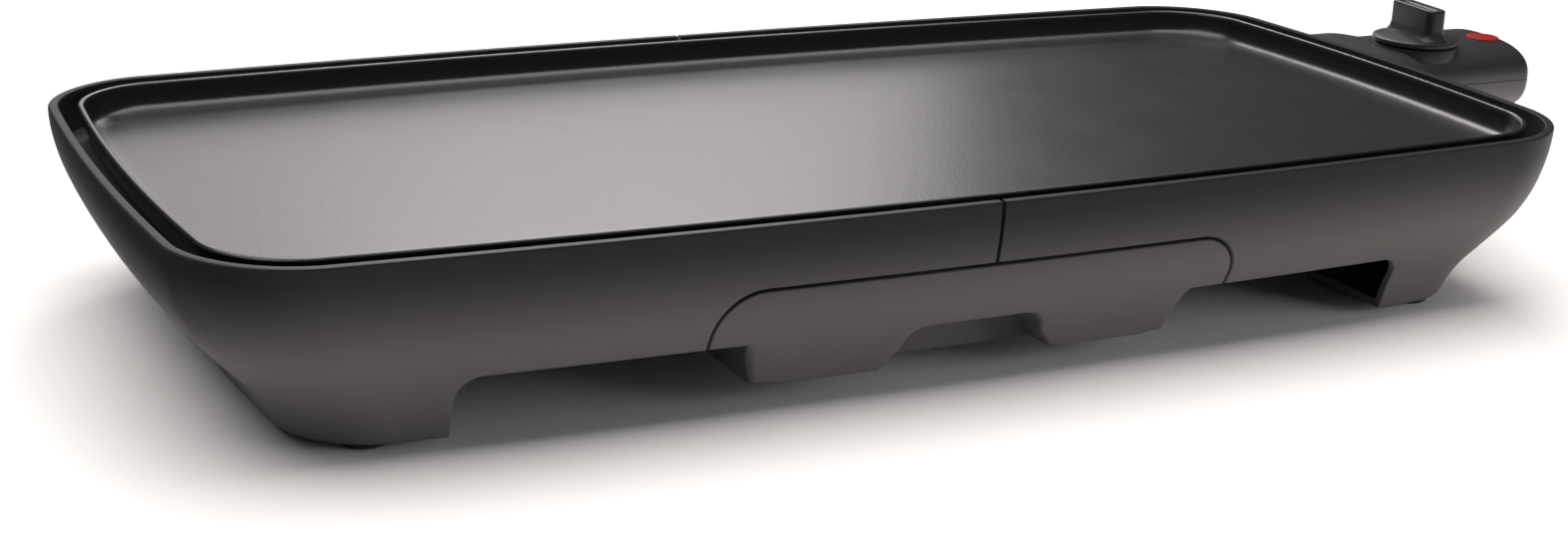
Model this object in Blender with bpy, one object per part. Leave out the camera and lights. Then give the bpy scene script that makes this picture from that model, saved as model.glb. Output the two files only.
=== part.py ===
"""Electric griddle: a two-part moulded base, a cast plate, a drip tray and a plug-in control unit.

Everything is placed about the middle of the base, at floor height, and hangs from one empty that
puts the middle of the whole object, control unit included, at the world's origin.
"""

import math

import bmesh
import bpy
from mathutils import Vector

MM = 0.001
GAP = 0.3 * MM

# Base housing
BASE_LENGTH = 570.0 * MM
BASE_WIDTH = 282.5 * MM
BASE_HEIGHT = 72.6 * MM
END_BOW = 6.4 * MM
SIDE_BOW = 8.2 * MM
RIM_CORNER = 40.0 * MM
CORNER_SHRINK = 0.3
BASE_WALL = 3.0 * MM
SIDE_SLOPE = 0.558
SEAM_GAP = 1.5 * MM
LEDGE_REACH = 30.0 * MM
LEDGE_THICK = 2.5 * MM
RIM_ROUND = 0.9 * MM
HALF_X = BASE_LENGTH / 2
HALF_Y = BASE_WIDTH / 2
FOOT_LENGTH = 91.0 * MM
FOOT_SPAN = HALF_X - FOOT_LENGTH
WALL_OVER_GAP = 45.7 * MM
FOOT_GAP_TOP = BASE_HEIGHT - WALL_OVER_GAP
FOOT_GAP_CORNER = 9.0 * MM
FOOT_BOTTOM = 2.9 * MM
FOOT_FLOOR = 3.0 * MM
BEAM_SETBACK = 18.0 * MM
BEAM_THICK = 3.0 * MM
BEAM_LIP = 2.5 * MM
GUSSET_THICK = 2.4 * MM
GUSSET_REACH = 38.0 * MM
TONGUE_ROOT = 24.0 * MM
TONGUE_REACH = 20.0 * MM
TONGUE_THICK = 3.0 * MM
TONGUE_SLACK = 1.2 * MM
TONGUE_SETBACK = 4.6 * MM
TONGUE_HEIGHT = 8.0 * MM
TONGUE_HIGH = BASE_HEIGHT - TONGUE_SETBACK
TONGUE_LOW = TONGUE_HIGH - TONGUE_HEIGHT
SPOUT_GAP_HALF = 40.0 * MM

# Rubber pads
PAD_RADIUS = 9.0 * MM
PAD_HEIGHT = 3.6 * MM
PAD_INSET_X = 66.0 * MM
PAD_INSET_Y = 40.2 * MM

# Griddle plate
PLATE_MARGIN = 10.5 * MM
PLATE_THICK = 4.0 * MM
PAN_DEPTH = 10.8 * MM
DRAIN_LENGTH = 24.0 * MM
DRAIN_WIDTH = 10.0 * MM
DRAIN_SETBACK = 30.0 * MM
SPOUT_WALL = 2.5 * MM
SPOUT_DROP = 7.0 * MM
LEDGE_TOP = BASE_HEIGHT - PAN_DEPTH - PLATE_THICK - GAP
PLATE_BOTTOM = LEDGE_TOP + GAP

# Heating element
SHEATH_RADIUS = 3.25 * MM
LOOP_FRONT_SETBACK = 63.25 * MM
LOOP_BACK_SETBACK = 57.25 * MM
LOOP_END_SETBACK = 63.0 * MM
LOOP_FRONT = HALF_Y - LOOP_FRONT_SETBACK
LOOP_BACK = HALF_Y - LOOP_BACK_SETBACK
LOOP_END = HALF_X - LOOP_END_SETBACK
LOOP_BEND = 20.0 * MM
CLAMP_LENGTH = 28.0 * MM
CLAMP_WIDTH = 12.0 * MM
CLAMP_THICK = 2.0 * MM
CLAMP_SETBACK = 135.0 * MM
CLAMP_SPREAD = HALF_X - CLAMP_SETBACK
CLAMP_OFFSET = 12.0 * MM
CLAMP_OVERLAP = 6.0 * MM
CLAMP_SCREW_RADIUS = 2.0 * MM
BOSS_RADIUS = 5.0 * MM

# Drip tray
TRAY_HALF = 106.0 * MM
TRAY_SETBACK = 24.1 * MM
TRAY_TOP = BASE_HEIGHT - TRAY_SETBACK
TRAY_CORNER = 17.0 * MM
TRAY_STEP_HALF = 91.4 * MM
TRAY_FOOT_HALF = 86.0 * MM
TRAY_BOTTOM = 8.2 * MM
TRAY_GAP = 1.2 * MM
TRAY_DEPTH = 118.0 * MM
TRAY_WALL = 2.5 * MM
BIN_HALF = 88.0 * MM
BIN_SETBACK = 4.5 * MM
BIN_TOP = TRAY_TOP - BIN_SETBACK
FLANGE = 5.0 * MM
FLANGE_THICK = 2.0 * MM
GRIP_SETBACK = 1.4 * MM
GRIP_TOP = FOOT_GAP_TOP - GRIP_SETBACK
GRIP_HALF = 29.0 * MM
GRIP_FLARE = 7.0 * MM
GRIP_DEPTH = 15.0 * MM
GRIP_CORNER = 9.0 * MM
PANEL_REACH = 34.0 * MM

# Plug-in connector
PIN_RADIUS = 2.4 * MM
PIN_SPREAD = 15.0 * MM
PIN_LENGTH = 25.0 * MM
PROBE_RADIUS = 3.0 * MM
PROBE_REACH = 85.0 * MM
PROBE_TUBE_RADIUS = 4.5 * MM
GUARD_SETBACK = 47.0 * MM
GUARD_X = HALF_X - GUARD_SETBACK
GUARD_DEPTH = 26.0 * MM
GUARD_WALL = 1.5 * MM
GUARD_PLAY_Y = 1.4 * MM
GUARD_PLAY_Z = 0.7 * MM
GUARD_CLEARANCE = 0.2 * MM
BLOCK_HALF = 24.0 * MM
BLOCK_HEIGHT = 10.2 * MM
BLOCK_INSERT = 8.0 * MM
NUT_LENGTH = 5.0 * MM
NUT_RADIUS = 7.0 * MM
CONTACT_WALL = 1.0 * MM
WINDOW_CLEARANCE = 2.5 * MM
CONNECTOR_Z = PLATE_BOTTOM - GUARD_CLEARANCE - GUARD_WALL - GUARD_PLAY_Z - BLOCK_HEIGHT / 2

# Control unit
CONTROL_SETBACK = 87.25 * MM
CONTROL_LENGTH = 106.0 * MM
SPLIT_RISE = 0.7 * MM
CONTROL_Y = HALF_Y - CONTROL_SETBACK
CONTROL_Z = CONNECTOR_Z + SPLIT_RISE
CONTROL_END = HALF_X + CONTROL_LENGTH
CONTROL_GAP = 1.8 * MM
BODY_HALF = 32.0 * MM
BODY_UP = 15.6 * MM
BODY_DOWN = 18.0 * MM
SHOULDER_HALF = 47.0 * MM
SHOULDER_LENGTH = 36.0 * MM
BODY_ROUND = 5.0 * MM
BODY_POWER = 2.7
CONTROL_WALL = 2.4 * MM
COVER_BOSS_HEIGHT = 16.3 * MM
COVER_BOSS_TOP = CONTROL_Z + COVER_BOSS_HEIGHT
SHOULDER_SHIFT = 1.0 * MM
SHOULDER_SCREW_OUT = 19.0 * MM
SHOULDER_SCREW_APART = 31.0 * MM
OUTER_SCREW_OUT = 89.0 * MM
OUTER_SCREW_APART = 21.0 * MM
SCREW_POST_RADIUS = 3.4 * MM
SCREW_HOUSING_RADIUS = 5.2 * MM
SCREW_HOLE_RADIUS = 1.9 * MM
SCREW_HEAD_HOLE_RADIUS = 3.3 * MM
SCREW_SEAT_DEPTH = 5.0 * MM
SCREW_REACH = 7.5 * MM
SCREW_SEAT = CONTROL_Z - SCREW_SEAT_DEPTH
SCREW_TIP = CONTROL_Z + SCREW_REACH
GLAND_RADIUS = 5.5 * MM
KNOB_OUT = 53.0 * MM
KNOB_FORWARD = 8.5 * MM
KNOB_X = HALF_X + KNOB_OUT
KNOB_Y = CONTROL_Y - KNOB_FORWARD
KNOB_RADIUS = 20.0 * MM
KNOB_PLAY = 0.7 * MM
KNOB_RIM = 2.5 * MM
KNOB_CROWN = 2.0 * MM
KNOB_HEIGHT = 17.2 * MM
KNOB_FOOT = COVER_BOSS_TOP + KNOB_PLAY
KNOB_EDGE = KNOB_FOOT + KNOB_RIM
KNOB_DOME = KNOB_EDGE + KNOB_CROWN
KNOB_TOP = KNOB_FOOT + KNOB_HEIGHT
GRIP_BAR_LENGTH = 32.0 * MM
GRIP_BAR_WIDTH = 10.0 * MM
GRIP_BAR_TURN = math.radians(-4.0)
SPINDLE_RADIUS = 3.0 * MM
SPINDLE_LOW = CONTROL_Z - 1.0 * MM
LENS_OUT = 95.0 * MM
LENS_FORWARD = 7.0 * MM
LENS_X = HALF_X + LENS_OUT
LENS_Y = CONTROL_Y - LENS_FORWARD
LENS_RADIUS = 7.7 * MM
LENS_RISE = 12.2 * MM
LENS_LOW = CONTROL_Z + LENS_RISE
LAMP_RADIUS = 3.0 * MM
THERMOSTAT_DROP = 11.0 * MM
THERMOSTAT_HEIGHT = 20.0 * MM
THERMOSTAT_FLOOR = CONTROL_Z - THERMOSTAT_DROP
THERMOSTAT_TOP = THERMOSTAT_FLOOR + THERMOSTAT_HEIGHT
THERMOSTAT_REACH = 14.0 * MM
THERMOSTAT_HALF = 7.0 * MM
THERMOSTAT_SHEET = 1.5 * MM
LEAF_THICK = 0.6 * MM

SHEATH_Z = PLATE_BOTTOM - GAP - SHEATH_RADIUS
SHEATH_LOW = SHEATH_Z - SHEATH_RADIUS
CORNER_STEPS = 8
SIDE_STEPS = 8
END_STEPS = 4

for leftover in list(bpy.data.objects):
    bpy.data.objects.remove(leftover, do_unlink=True)


# ---------------------------------------------------------------- materials

def finish(name, colour, roughness, metallic=0.0):
    material = bpy.data.materials.new(name)
    material.use_nodes = True
    shader = material.node_tree.nodes["Principled BSDF"]
    shader.inputs["Base Color"].default_value = (*colour, 1.0)
    shader.inputs["Roughness"].default_value = roughness
    shader.inputs["Metallic"].default_value = metallic
    material.diffuse_color = (*colour, 1.0)
    return material


HOUSING = finish("housing_plastic", (0.055, 0.052, 0.050), 0.42)
COATING = finish("non_stick_coating", (0.020, 0.019, 0.018), 0.38)
BLACK = finish("black_plastic", (0.018, 0.017, 0.016), 0.35)
STEEL = finish("steel", (0.62, 0.61, 0.59), 0.3, 1.0)
SHEATH = finish("element_sheath", (0.20, 0.19, 0.18), 0.5, 1.0)
BRASS = finish("brass", (0.76, 0.60, 0.30), 0.3, 1.0)
CERAMIC = finish("ceramic", (0.82, 0.79, 0.72), 0.55)
RUBBER = finish("rubber", (0.03, 0.03, 0.03), 0.85)
RED = finish("red_lens", (0.55, 0.02, 0.02), 0.2)
GLASS = finish("lamp_glass", (0.80, 0.72, 0.62), 0.1)


# ---------------------------------------------------------------- placing and making

def place_holder(name, parent, location):
    holder = bpy.data.objects.new(name, None)
    bpy.context.collection.objects.link(holder)
    holder.parent = parent
    holder.location = location
    return holder


KNOB_SPOT = Vector((KNOB_X, KNOB_Y, 0.0))
assembly = place_holder("assembly", None, (-(CONTROL_END - HALF_X) / 2, 0.0, 0.0))
left_base = place_holder("left_base", assembly, (0.0, 0.0, 0.0))
tray_slide = place_holder("tray_slide", assembly, (0.0, 0.0, 0.0))
control_slide = place_holder("control_slide", assembly, (0.0, 0.0, 0.0))
knob_axis = place_holder("knob_axis", control_slide, KNOB_SPOT)


def add_object(name, mesh, material, parent):
    made = bpy.data.objects.new(name, mesh)
    bpy.context.collection.objects.link(made)
    made.parent = parent
    if material is None:
        made.hide_render = True
        made.display_type = "WIRE"
    else:
        mesh.materials.append(material)
    mesh.shade_smooth()
    mesh.set_sharp_from_angle(angle=math.radians(32.0))
    return made


def finish_mesh(name, bm, material, parent):
    bmesh.ops.recalc_face_normals(bm, faces=bm.faces[:])
    mesh = bpy.data.meshes.new(name)
    bm.to_mesh(mesh)
    bm.free()
    return add_object(name, mesh, material, parent)


def loft(name, rings, material=None, parent=assembly, closed=False):
    """Skins a list of rings that have the same number of points; both ends are capped unless closed."""
    bm = bmesh.new()
    rows = [[bm.verts.new(point) for point in ring] for ring in rings]
    count = len(rows[0])
    pairs = list(zip(rows, rows[1:]))
    if closed:
        pairs.append((rows[-1], rows[0]))
    for lower, upper in pairs:
        for i in range(count):
            j = (i + 1) % count
            bm.faces.new((lower[i], lower[j], upper[j], upper[i]))
    if not closed:
        bm.faces.new(list(reversed(rows[0])))
        bm.faces.new(rows[-1])
    return finish_mesh(name, bm, material, parent)


def to_axis(axis, across, up, along):
    """Point with two coordinates across an axis and one along it."""
    if axis == "X":
        return (along, across, up)
    if axis == "Y":
        return (across, along, up)
    return (across, up, along)


def prism(name, outline, axis, low, high, material=None, parent=assembly):
    rings = [[to_axis(axis, u, v, end) for u, v in outline] for end in (low, high)]
    return loft(name, rings, material, parent)


def circle(radius, steps, u=0.0, v=0.0):
    turns = [2 * math.pi * i / steps for i in range(steps)]
    return [(u + radius * math.cos(turn), v + radius * math.sin(turn)) for turn in turns]


def rod(name, axis, radius, low, high, u, v, material=None, parent=assembly, steps=20):
    return prism(name, circle(radius, steps, u, v), axis, low, high, material, parent)


def box(name, low, high, material=None, parent=assembly):
    outline = [(low[0], low[1]), (high[0], low[1]), (high[0], high[1]), (low[0], high[1])]
    return prism(name, outline, "Z", low[2], high[2], material, parent)


def rounded(low_u, low_v, high_u, high_v, radius, steps=4):
    """Outline of a rectangle with round corners."""
    centres = [(high_u - radius, high_v - radius, 0), (low_u + radius, high_v - radius, 1),
               (low_u + radius, low_v + radius, 2), (high_u - radius, low_v + radius, 3)]
    points = []
    for u, v, quarter in centres:
        for i in range(steps + 1):
            turn = math.pi / 2 * (quarter + i / steps)
            points.append((u + radius * math.cos(turn), v + radius * math.sin(turn)))
    return points


def combine(target, other, operation):
    step = target.modifiers.new(operation.lower(), "BOOLEAN")
    step.operation = operation
    step.object = other
    step.solver = "EXACT"


def cut(target, *others):
    for other in others:
        combine(target, other, "DIFFERENCE")


def join(target, *others):
    for other in others:
        combine(target, other, "UNION")


def keep(target, other):
    combine(target, other, "INTERSECT")


def turned(name, profile, spot, material=None, parent=assembly, steps=40):
    """Solid of revolution about +Z from (radius, height) points, which run from the axis to the axis."""
    bm = bmesh.new()
    rings = []
    for radius, height in profile[1:-1]:
        turns = circle(radius, steps, spot[0], spot[1])
        rings.append([bm.verts.new((x, y, height)) for x, y in turns])
    first = bm.verts.new((spot[0], spot[1], profile[0][1]))
    last = bm.verts.new((spot[0], spot[1], profile[-1][1]))
    for i in range(steps):
        j = (i + 1) % steps
        bm.faces.new((first, rings[0][j], rings[0][i]))
        bm.faces.new((last, rings[-1][i], rings[-1][j]))
        for lower, upper in zip(rings, rings[1:]):
            bm.faces.new((lower[i], lower[j], upper[j], upper[i]))
    return finish_mesh(name, bm, material, parent)


def ring_tube(name, axis, outer, inner, low, high, u, v, material, parent=assembly, steps=20):
    """Open-ended tube."""
    rings = []
    for radius, end in ((outer, low), (outer, high), (inner, high), (inner, low)):
        rings.append([to_axis(axis, a, b, end) for a, b in circle(radius, steps, u, v)])
    return loft(name, rings, material, parent, closed=True)


# ---------------------------------------------------------------- the base's outline

def plan_ring(half_x, half_y, corner, height):
    """Rounded rectangle whose sides bow outwards, as one ring of points at a height."""
    straight_x = half_x - END_BOW
    straight_y = half_y - SIDE_BOW
    flat_x = straight_x - corner
    flat_y = straight_y - corner
    points = []
    sides = [((1, 1), SIDE_STEPS), ((-1, 1), END_STEPS), ((-1, -1), SIDE_STEPS), ((1, -1), END_STEPS)]
    for quarter, (sign, steps) in enumerate(sides):
        for i in range(CORNER_STEPS):
            turn = math.pi / 2 * (quarter + i / CORNER_STEPS)
            x = sign[0] * flat_x + corner * math.cos(turn)
            y = sign[1] * flat_y + corner * math.sin(turn)
            points.append((x, y))
        end_turn = math.pi / 2 * (quarter + 1)
        start = (sign[0] * flat_x + corner * math.cos(end_turn),
                 sign[1] * flat_y + corner * math.sin(end_turn))
        if quarter % 2 == 0:
            finish_point = (-start[0], start[1])
        else:
            finish_point = (start[0], -start[1])
        for i in range(steps):
            share = i / steps
            points.append((start[0] + (finish_point[0] - start[0]) * share,
                           start[1] + (finish_point[1] - start[1]) * share))
    bowed = []
    for x, y in points:
        out_x = 1 + END_BOW / straight_x * (1 - (y / straight_y) ** 2)
        out_y = 1 + SIDE_BOW / straight_y * (1 - (x / straight_x) ** 2)
        bowed.append((x * out_x, y * out_y, height))
    return bowed


def wall_ring(inward, height, thickness=0.0):
    """Ring of the base's wall. Its front and back lean in less than its ends do."""
    half_x = HALF_X - inward - thickness
    half_y = HALF_Y - SIDE_SLOPE * inward - thickness
    corner = RIM_CORNER - CORNER_SHRINK * inward - thickness
    return plan_ring(half_x, half_y, corner, height)


# The wall's inward lean in millimetres, against height as a share of the way from feet to rim.
LEAN_AT_SHARE = [
    (37.0, 0.0), (33.7, 0.099), (29.1, 0.1994), (24.4, 0.274), (19.4, 0.3501), (14.7, 0.4232),
    (10.4, 0.4993), (7.3, 0.5725), (4.75, 0.6499), (3.0, 0.7245), (1.6, 0.8006), (0.6, 0.8766), (0.0, 0.957),
]
WALL_CURVE = [(lean * MM, FOOT_BOTTOM + share * (BASE_HEIGHT - FOOT_BOTTOM)) for lean, share in LEAN_AT_SHARE]


def lean_at(height):
    for (low_lean, low), (high_lean, high) in zip(WALL_CURVE, WALL_CURVE[1:]):
        if height <= high:
            return low_lean + (high_lean - low_lean) * (height - low) / (high - low)
    return WALL_CURVE[-1][0]


def wall_solid(name, thickness, low, high):
    """Solid block with the base's outer shape, or that shape less a wall, between two heights."""
    heights = [low] + [z for _, z in WALL_CURVE if low < z < high] + [high]
    return loft(name, [wall_ring(lean_at(max(z, FOOT_BOTTOM)), z, thickness) for z in heights])


# ---------------------------------------------------------------- connector places

def side_by_side(offset):
    return CONTROL_Y + offset


PIN_SPOTS = {"front": side_by_side(-PIN_SPREAD), "rear": side_by_side(PIN_SPREAD)}
BLOCK_START = GUARD_X + GUARD_WALL + 2.5 * MM
PIN_TIP = GUARD_X - 1.0 * MM + PIN_LENGTH
EARTH_Y = side_by_side(-PIN_SPREAD / 2)
SHOULDER_START = HALF_X + CONTROL_GAP
SHOULDER_END = SHOULDER_START + SHOULDER_LENGTH
BEAM_X = BIN_HALF + FLANGE + BEAM_THICK / 2
WINDOW_HALF = BLOCK_HALF + WINDOW_CLEARANCE
WINDOW_LOW = CONNECTOR_Z - BLOCK_HEIGHT / 2 - WINDOW_CLEARANCE
WINDOW_HIGH = CONNECTOR_Z + BLOCK_HEIGHT / 2 + WINDOW_CLEARANCE
TRAY_STEP_Z = FOOT_GAP_TOP
PAD_X = HALF_X - PAD_INSET_X
PAD_Y = HALF_Y - PAD_INSET_Y


# ---------------------------------------------------------------- base halves

def tray_outline(spread):
    """Front view of the tray panel, grown by a gap: wide above the base's lower edge, narrow below."""
    half = TRAY_HALF + spread
    top = TRAY_TOP + spread
    corner = TRAY_CORNER + spread
    upper = []
    for i in range(7):
        turn = math.pi / 2 * i / 6
        upper.append((half - corner + corner * math.cos(turn), top - corner + corner * math.sin(turn)))
    mirrored = [(-u, v) for u, v in reversed(upper)]
    return upper + mirrored


def mouth_outline(spread):
    """The tray panel's outline continued straight down past the base's lower edge."""
    half = TRAY_HALF + spread
    return tray_outline(spread) + [(-half, -20 * MM), (half, -20 * MM)]


def base_shell(name, material, parent):
    """The whole base as one moulding, before a half of it is taken away."""
    outer = [wall_ring(lean, z) for lean, z in WALL_CURVE]
    rim = [
        wall_ring(RIM_ROUND * 0.3, BASE_HEIGHT - RIM_ROUND * 0.3),
        wall_ring(RIM_ROUND, BASE_HEIGHT),
        wall_ring(0.0, BASE_HEIGHT, BASE_WALL + RIM_ROUND * 0.3),
    ]
    inner_top = [wall_ring(0.0, BASE_HEIGHT - RIM_ROUND, BASE_WALL + RIM_ROUND * 0.6)]
    ledge_lean = lean_at(LEDGE_TOP)
    under_lean = lean_at(LEDGE_TOP - LEDGE_THICK)
    ledge = [
        wall_ring(ledge_lean, LEDGE_TOP, BASE_WALL),
        wall_ring(0.0, LEDGE_TOP, LEDGE_REACH),
        wall_ring(0.0, LEDGE_TOP - LEDGE_THICK, LEDGE_REACH),
        wall_ring(under_lean, LEDGE_TOP - LEDGE_THICK, BASE_WALL),
    ]
    inner = [wall_ring(lean, z, BASE_WALL) for lean, z in reversed(WALL_CURVE) if z < LEDGE_TOP - LEDGE_THICK]
    return loft(name, outer + rim + inner_top + ledge + inner, material, parent, closed=True)


def base_half(name, side, parent):
    half = base_shell(name, HOUSING, parent)
    far = HALF_X + 20 * MM
    # A floor closes each end between its two feet.
    floor_end = side * (HALF_X - WALL_CURVE[0][0] - 1.5 * MM)
    floor_near = side * (FOOT_SPAN - 2 * MM)
    floor_half = HALF_Y - SIDE_SLOPE * WALL_CURVE[0][0]
    floor = wall_solid(name + "_floor", 1.5 * MM, FOOT_BOTTOM, FOOT_BOTTOM + FOOT_FLOOR)
    crop = box(name + "_floor_crop", (min(floor_near, floor_end * 1.1), -floor_half, 0.0),
               (max(floor_near, floor_end * 1.1), floor_half, BASE_HEIGHT))
    keep(floor, crop)
    join(half, floor)
    # The guide beam runs from front to back and carries a flange of the tray.
    half_beam = BEAM_THICK / 2
    web = box(name + "_beam", (side * BEAM_X - half_beam, -HALF_Y + BEAM_SETBACK, FOOT_GAP_TOP + 1 * MM),
              (side * BEAM_X + half_beam, HALF_Y - 2 * MM, BIN_TOP + 2 * MM))
    lip_low = BIN_TOP - FLANGE_THICK - 2 * GAP - BEAM_LIP
    lip_ends = sorted((side * (BIN_HALF + 1 * MM), side * BEAM_X))
    lip = box(name + "_lip", (lip_ends[0], -HALF_Y + BEAM_SETBACK + 1 * MM, lip_low),
              (lip_ends[1], TRAY_DEPTH - HALF_Y - 10 * MM, lip_low + BEAM_LIP))
    trim = wall_solid(name + "_beam_trim", 1.0 * MM, FOOT_BOTTOM, BASE_HEIGHT)
    keep(web, trim)
    join(half, web, lip)
    half_gusset = GUSSET_THICK / 2
    for place, low_y, high_y in (("front", -HALF_Y + BEAM_SETBACK, -HALF_Y + GUSSET_REACH),
                                 ("rear", HALF_Y - GUSSET_REACH, HALF_Y - 8 * MM)):
        gusset = box(f"{name}_gusset_{place}",
                     (side * BEAM_X - half_gusset, low_y + 1 * MM, FOOT_GAP_TOP + 3 * MM),
                     (side * BEAM_X + half_gusset, high_y, LEDGE_TOP - 1 * MM))
        join(half, gusset)
    # Openings: between the feet, for the tray, for the plate's spout, and for the connector.
    gap = prism(name + "_foot_gap", rounded(-FOOT_SPAN, -20 * MM, FOOT_SPAN, FOOT_GAP_TOP,
                                            FOOT_GAP_CORNER), "Y", -far, far)
    mouth = prism(name + "_mouth", mouth_outline(TRAY_GAP), "Y", -far, -HALF_Y + BEAM_SETBACK - 0.5 * MM)
    spout = box(name + "_spout_gap", (-SPOUT_GAP_HALF, -HALF_Y + 5 * MM, LEDGE_TOP - 6 * MM),
                (SPOUT_GAP_HALF, -HALF_Y + LEDGE_REACH + 10 * MM, LEDGE_TOP + 3 * MM))
    cut(half, gap, mouth, spout)
    if side > 0:
        window = prism(name + "_window", rounded(CONTROL_Y - WINDOW_HALF, WINDOW_LOW,
                                                 CONTROL_Y + WINDOW_HALF, WINDOW_HIGH, 3 * MM),
                       "X", GUARD_X - 10 * MM, far)
        shelf_gap = box(name + "_shelf_gap",
                        (GUARD_X - 12 * MM, CONTROL_Y - WINDOW_HALF - 6 * MM, LEDGE_TOP - 6 * MM),
                        (HALF_X - 9 * MM, CONTROL_Y + WINDOW_HALF + 6 * MM, LEDGE_TOP + 3 * MM))
        cut(half, window, shelf_gap)
    # Seam: each half stops short of the middle, with its outer edge eased.
    edge = SEAM_GAP / 2
    other = box(name + "_other_half", (min(side * edge, -side * far), -far, -far),
                (max(side * edge, -side * far), far, far))
    cut(half, other)
    # Sockets for the rubber pads.
    for sign in (-1, 1):
        socket = rod(f"{name}_pad_socket_{sign}", "Z", PAD_RADIUS + GAP, 0.0, PAD_HEIGHT + GAP,
                     side * PAD_X, sign * PAD_Y)
        cut(half, socket)
    return half


def joining_tongue(sign):
    """Tongue that ties the halves together behind the front or the back wall."""
    depth = HALF_Y - BASE_WALL - TONGUE_SLACK
    low_y, high_y = sorted((sign * depth, sign * (depth - TONGUE_THICK)))
    return box(f"tongue_{sign}", (-TONGUE_ROOT, low_y, TONGUE_LOW), (TONGUE_REACH, high_y, TONGUE_HIGH))


def tongue_root(sign):
    """Block that joins the tongue to its own half's wall."""
    low_y, high_y = sorted((sign * (HALF_Y - 2 * MM), sign * (HALF_Y - 8 * MM)))
    return box(f"tongue_root_{sign}", (-TONGUE_ROOT, low_y, TONGUE_LOW), (-4 * MM, high_y, TONGUE_HIGH))


base_right = base_half("base_right", 1, assembly)
base_left = base_half("base_left", -1, left_base)
for sign in (-1, 1):
    join(base_left, tongue_root(sign), joining_tongue(sign))

for side, half_name in ((-1, "left"), (1, "right")):
    for sign, end_name in ((-1, "front"), (1, "rear")):
        holder = left_base if side < 0 else assembly
        rod(f"foot_pad_{half_name}_{end_name}", "Z", PAD_RADIUS, 0.0, PAD_HEIGHT,
            side * PAD_X, sign * PAD_Y, RUBBER, holder, 24)


# ---------------------------------------------------------------- griddle plate

PLATE_PROFILE_OUT = [(9.0, 0.0), (5.0, 1.4), (2.6, 4.2), (1.4, 7.2), (0.0, 14.0)]
PLATE_PROFILE_RIM = [(0.5, 0.0), (1.7, 0.0), (2.2, 0.5)]
PAN_WALL = [(4.0, 2.8), (5.2, 1.6), (7.2, 0.7), (9.8, 0.15), (13.2, 0.0)]


def clamp_spots():
    """Screw places of the clamps, each beside the element, and the side that the element is on."""
    spots = []
    for x in (-CLAMP_SPREAD, CLAMP_SPREAD):
        spots.append((x, -LOOP_FRONT + CLAMP_OFFSET, -1))
        spots.append((x, LOOP_BACK - CLAMP_OFFSET, 1))
    return spots


def plate_ring(inset, height):
    total = PLATE_MARGIN + inset
    return plan_ring(HALF_X - total, HALF_Y - total, max(RIM_CORNER - total, 6 * MM), height)


def griddle_plate():
    rings = [plate_ring(d * MM, PLATE_BOTTOM + z * MM) for d, z in PLATE_PROFILE_OUT]
    rings += [plate_ring(d * MM, BASE_HEIGHT - z * MM) for d, z in PLATE_PROFILE_RIM]
    surface = BASE_HEIGHT - PAN_DEPTH
    rings += [plate_ring(d * MM, surface + z * MM) for d, z in PAN_WALL]
    plate = loft("griddle_plate", rings, COATING)
    spot_y = -HALF_Y + DRAIN_SETBACK
    outer = (DRAIN_LENGTH / 2 + SPOUT_WALL, DRAIN_WIDTH / 2 + SPOUT_WALL)
    spout = prism("spout", rounded(-outer[0], spot_y - outer[1], outer[0], spot_y + outer[1],
                                   outer[1] - 0.1 * MM), "Z",
                  PLATE_BOTTOM - SPOUT_DROP, PLATE_BOTTOM + 2 * MM)
    hole = prism("drain", rounded(-DRAIN_LENGTH / 2, spot_y - DRAIN_WIDTH / 2, DRAIN_LENGTH / 2,
                                  spot_y + DRAIN_WIDTH / 2, DRAIN_WIDTH / 2 - 0.1 * MM), "Z",
                 PLATE_BOTTOM - SPOUT_DROP - 5 * MM, BASE_HEIGHT)
    rib_low = CONNECTOR_Z + PROBE_TUBE_RADIUS + GAP
    rib = box("probe_rib", (BLOCK_START - PROBE_REACH - 8 * MM, CONTROL_Y - 4 * MM, rib_low),
              (GUARD_X - 4 * MM, CONTROL_Y + 4 * MM, PLATE_BOTTOM + 1 * MM))
    join(plate, spout, rib)
    for x, y, _ in clamp_spots():
        join(plate, rod("boss", "Z", BOSS_RADIUS, SHEATH_LOW, PLATE_BOTTOM + 1 * MM, x, y))
    cut(plate, hole)
    for x, y, _ in clamp_spots():
        cut(plate, rod("thread", "Z", CLAMP_SCREW_RADIUS + GAP, SHEATH_LOW - 1 * MM, PLATE_BOTTOM, x, y,
                       steps=12))
    return plate


plate = griddle_plate()


# ---------------------------------------------------------------- heating element

ELEMENT_END = GUARD_X - 9.0 * MM


def round_corner(before, corner, after, radius):
    """Points of an arc that replaces a right-angled corner."""
    start = corner + (before - corner).normalized() * radius
    finish_point = corner + (after - corner).normalized() * radius
    centre = start + finish_point - corner
    points = []
    for i in range(7):
        turn = math.pi / 2 * i / 6
        points.append(centre + (start - centre) * math.cos(turn) + (finish_point - centre) * math.sin(turn))
    return points


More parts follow.
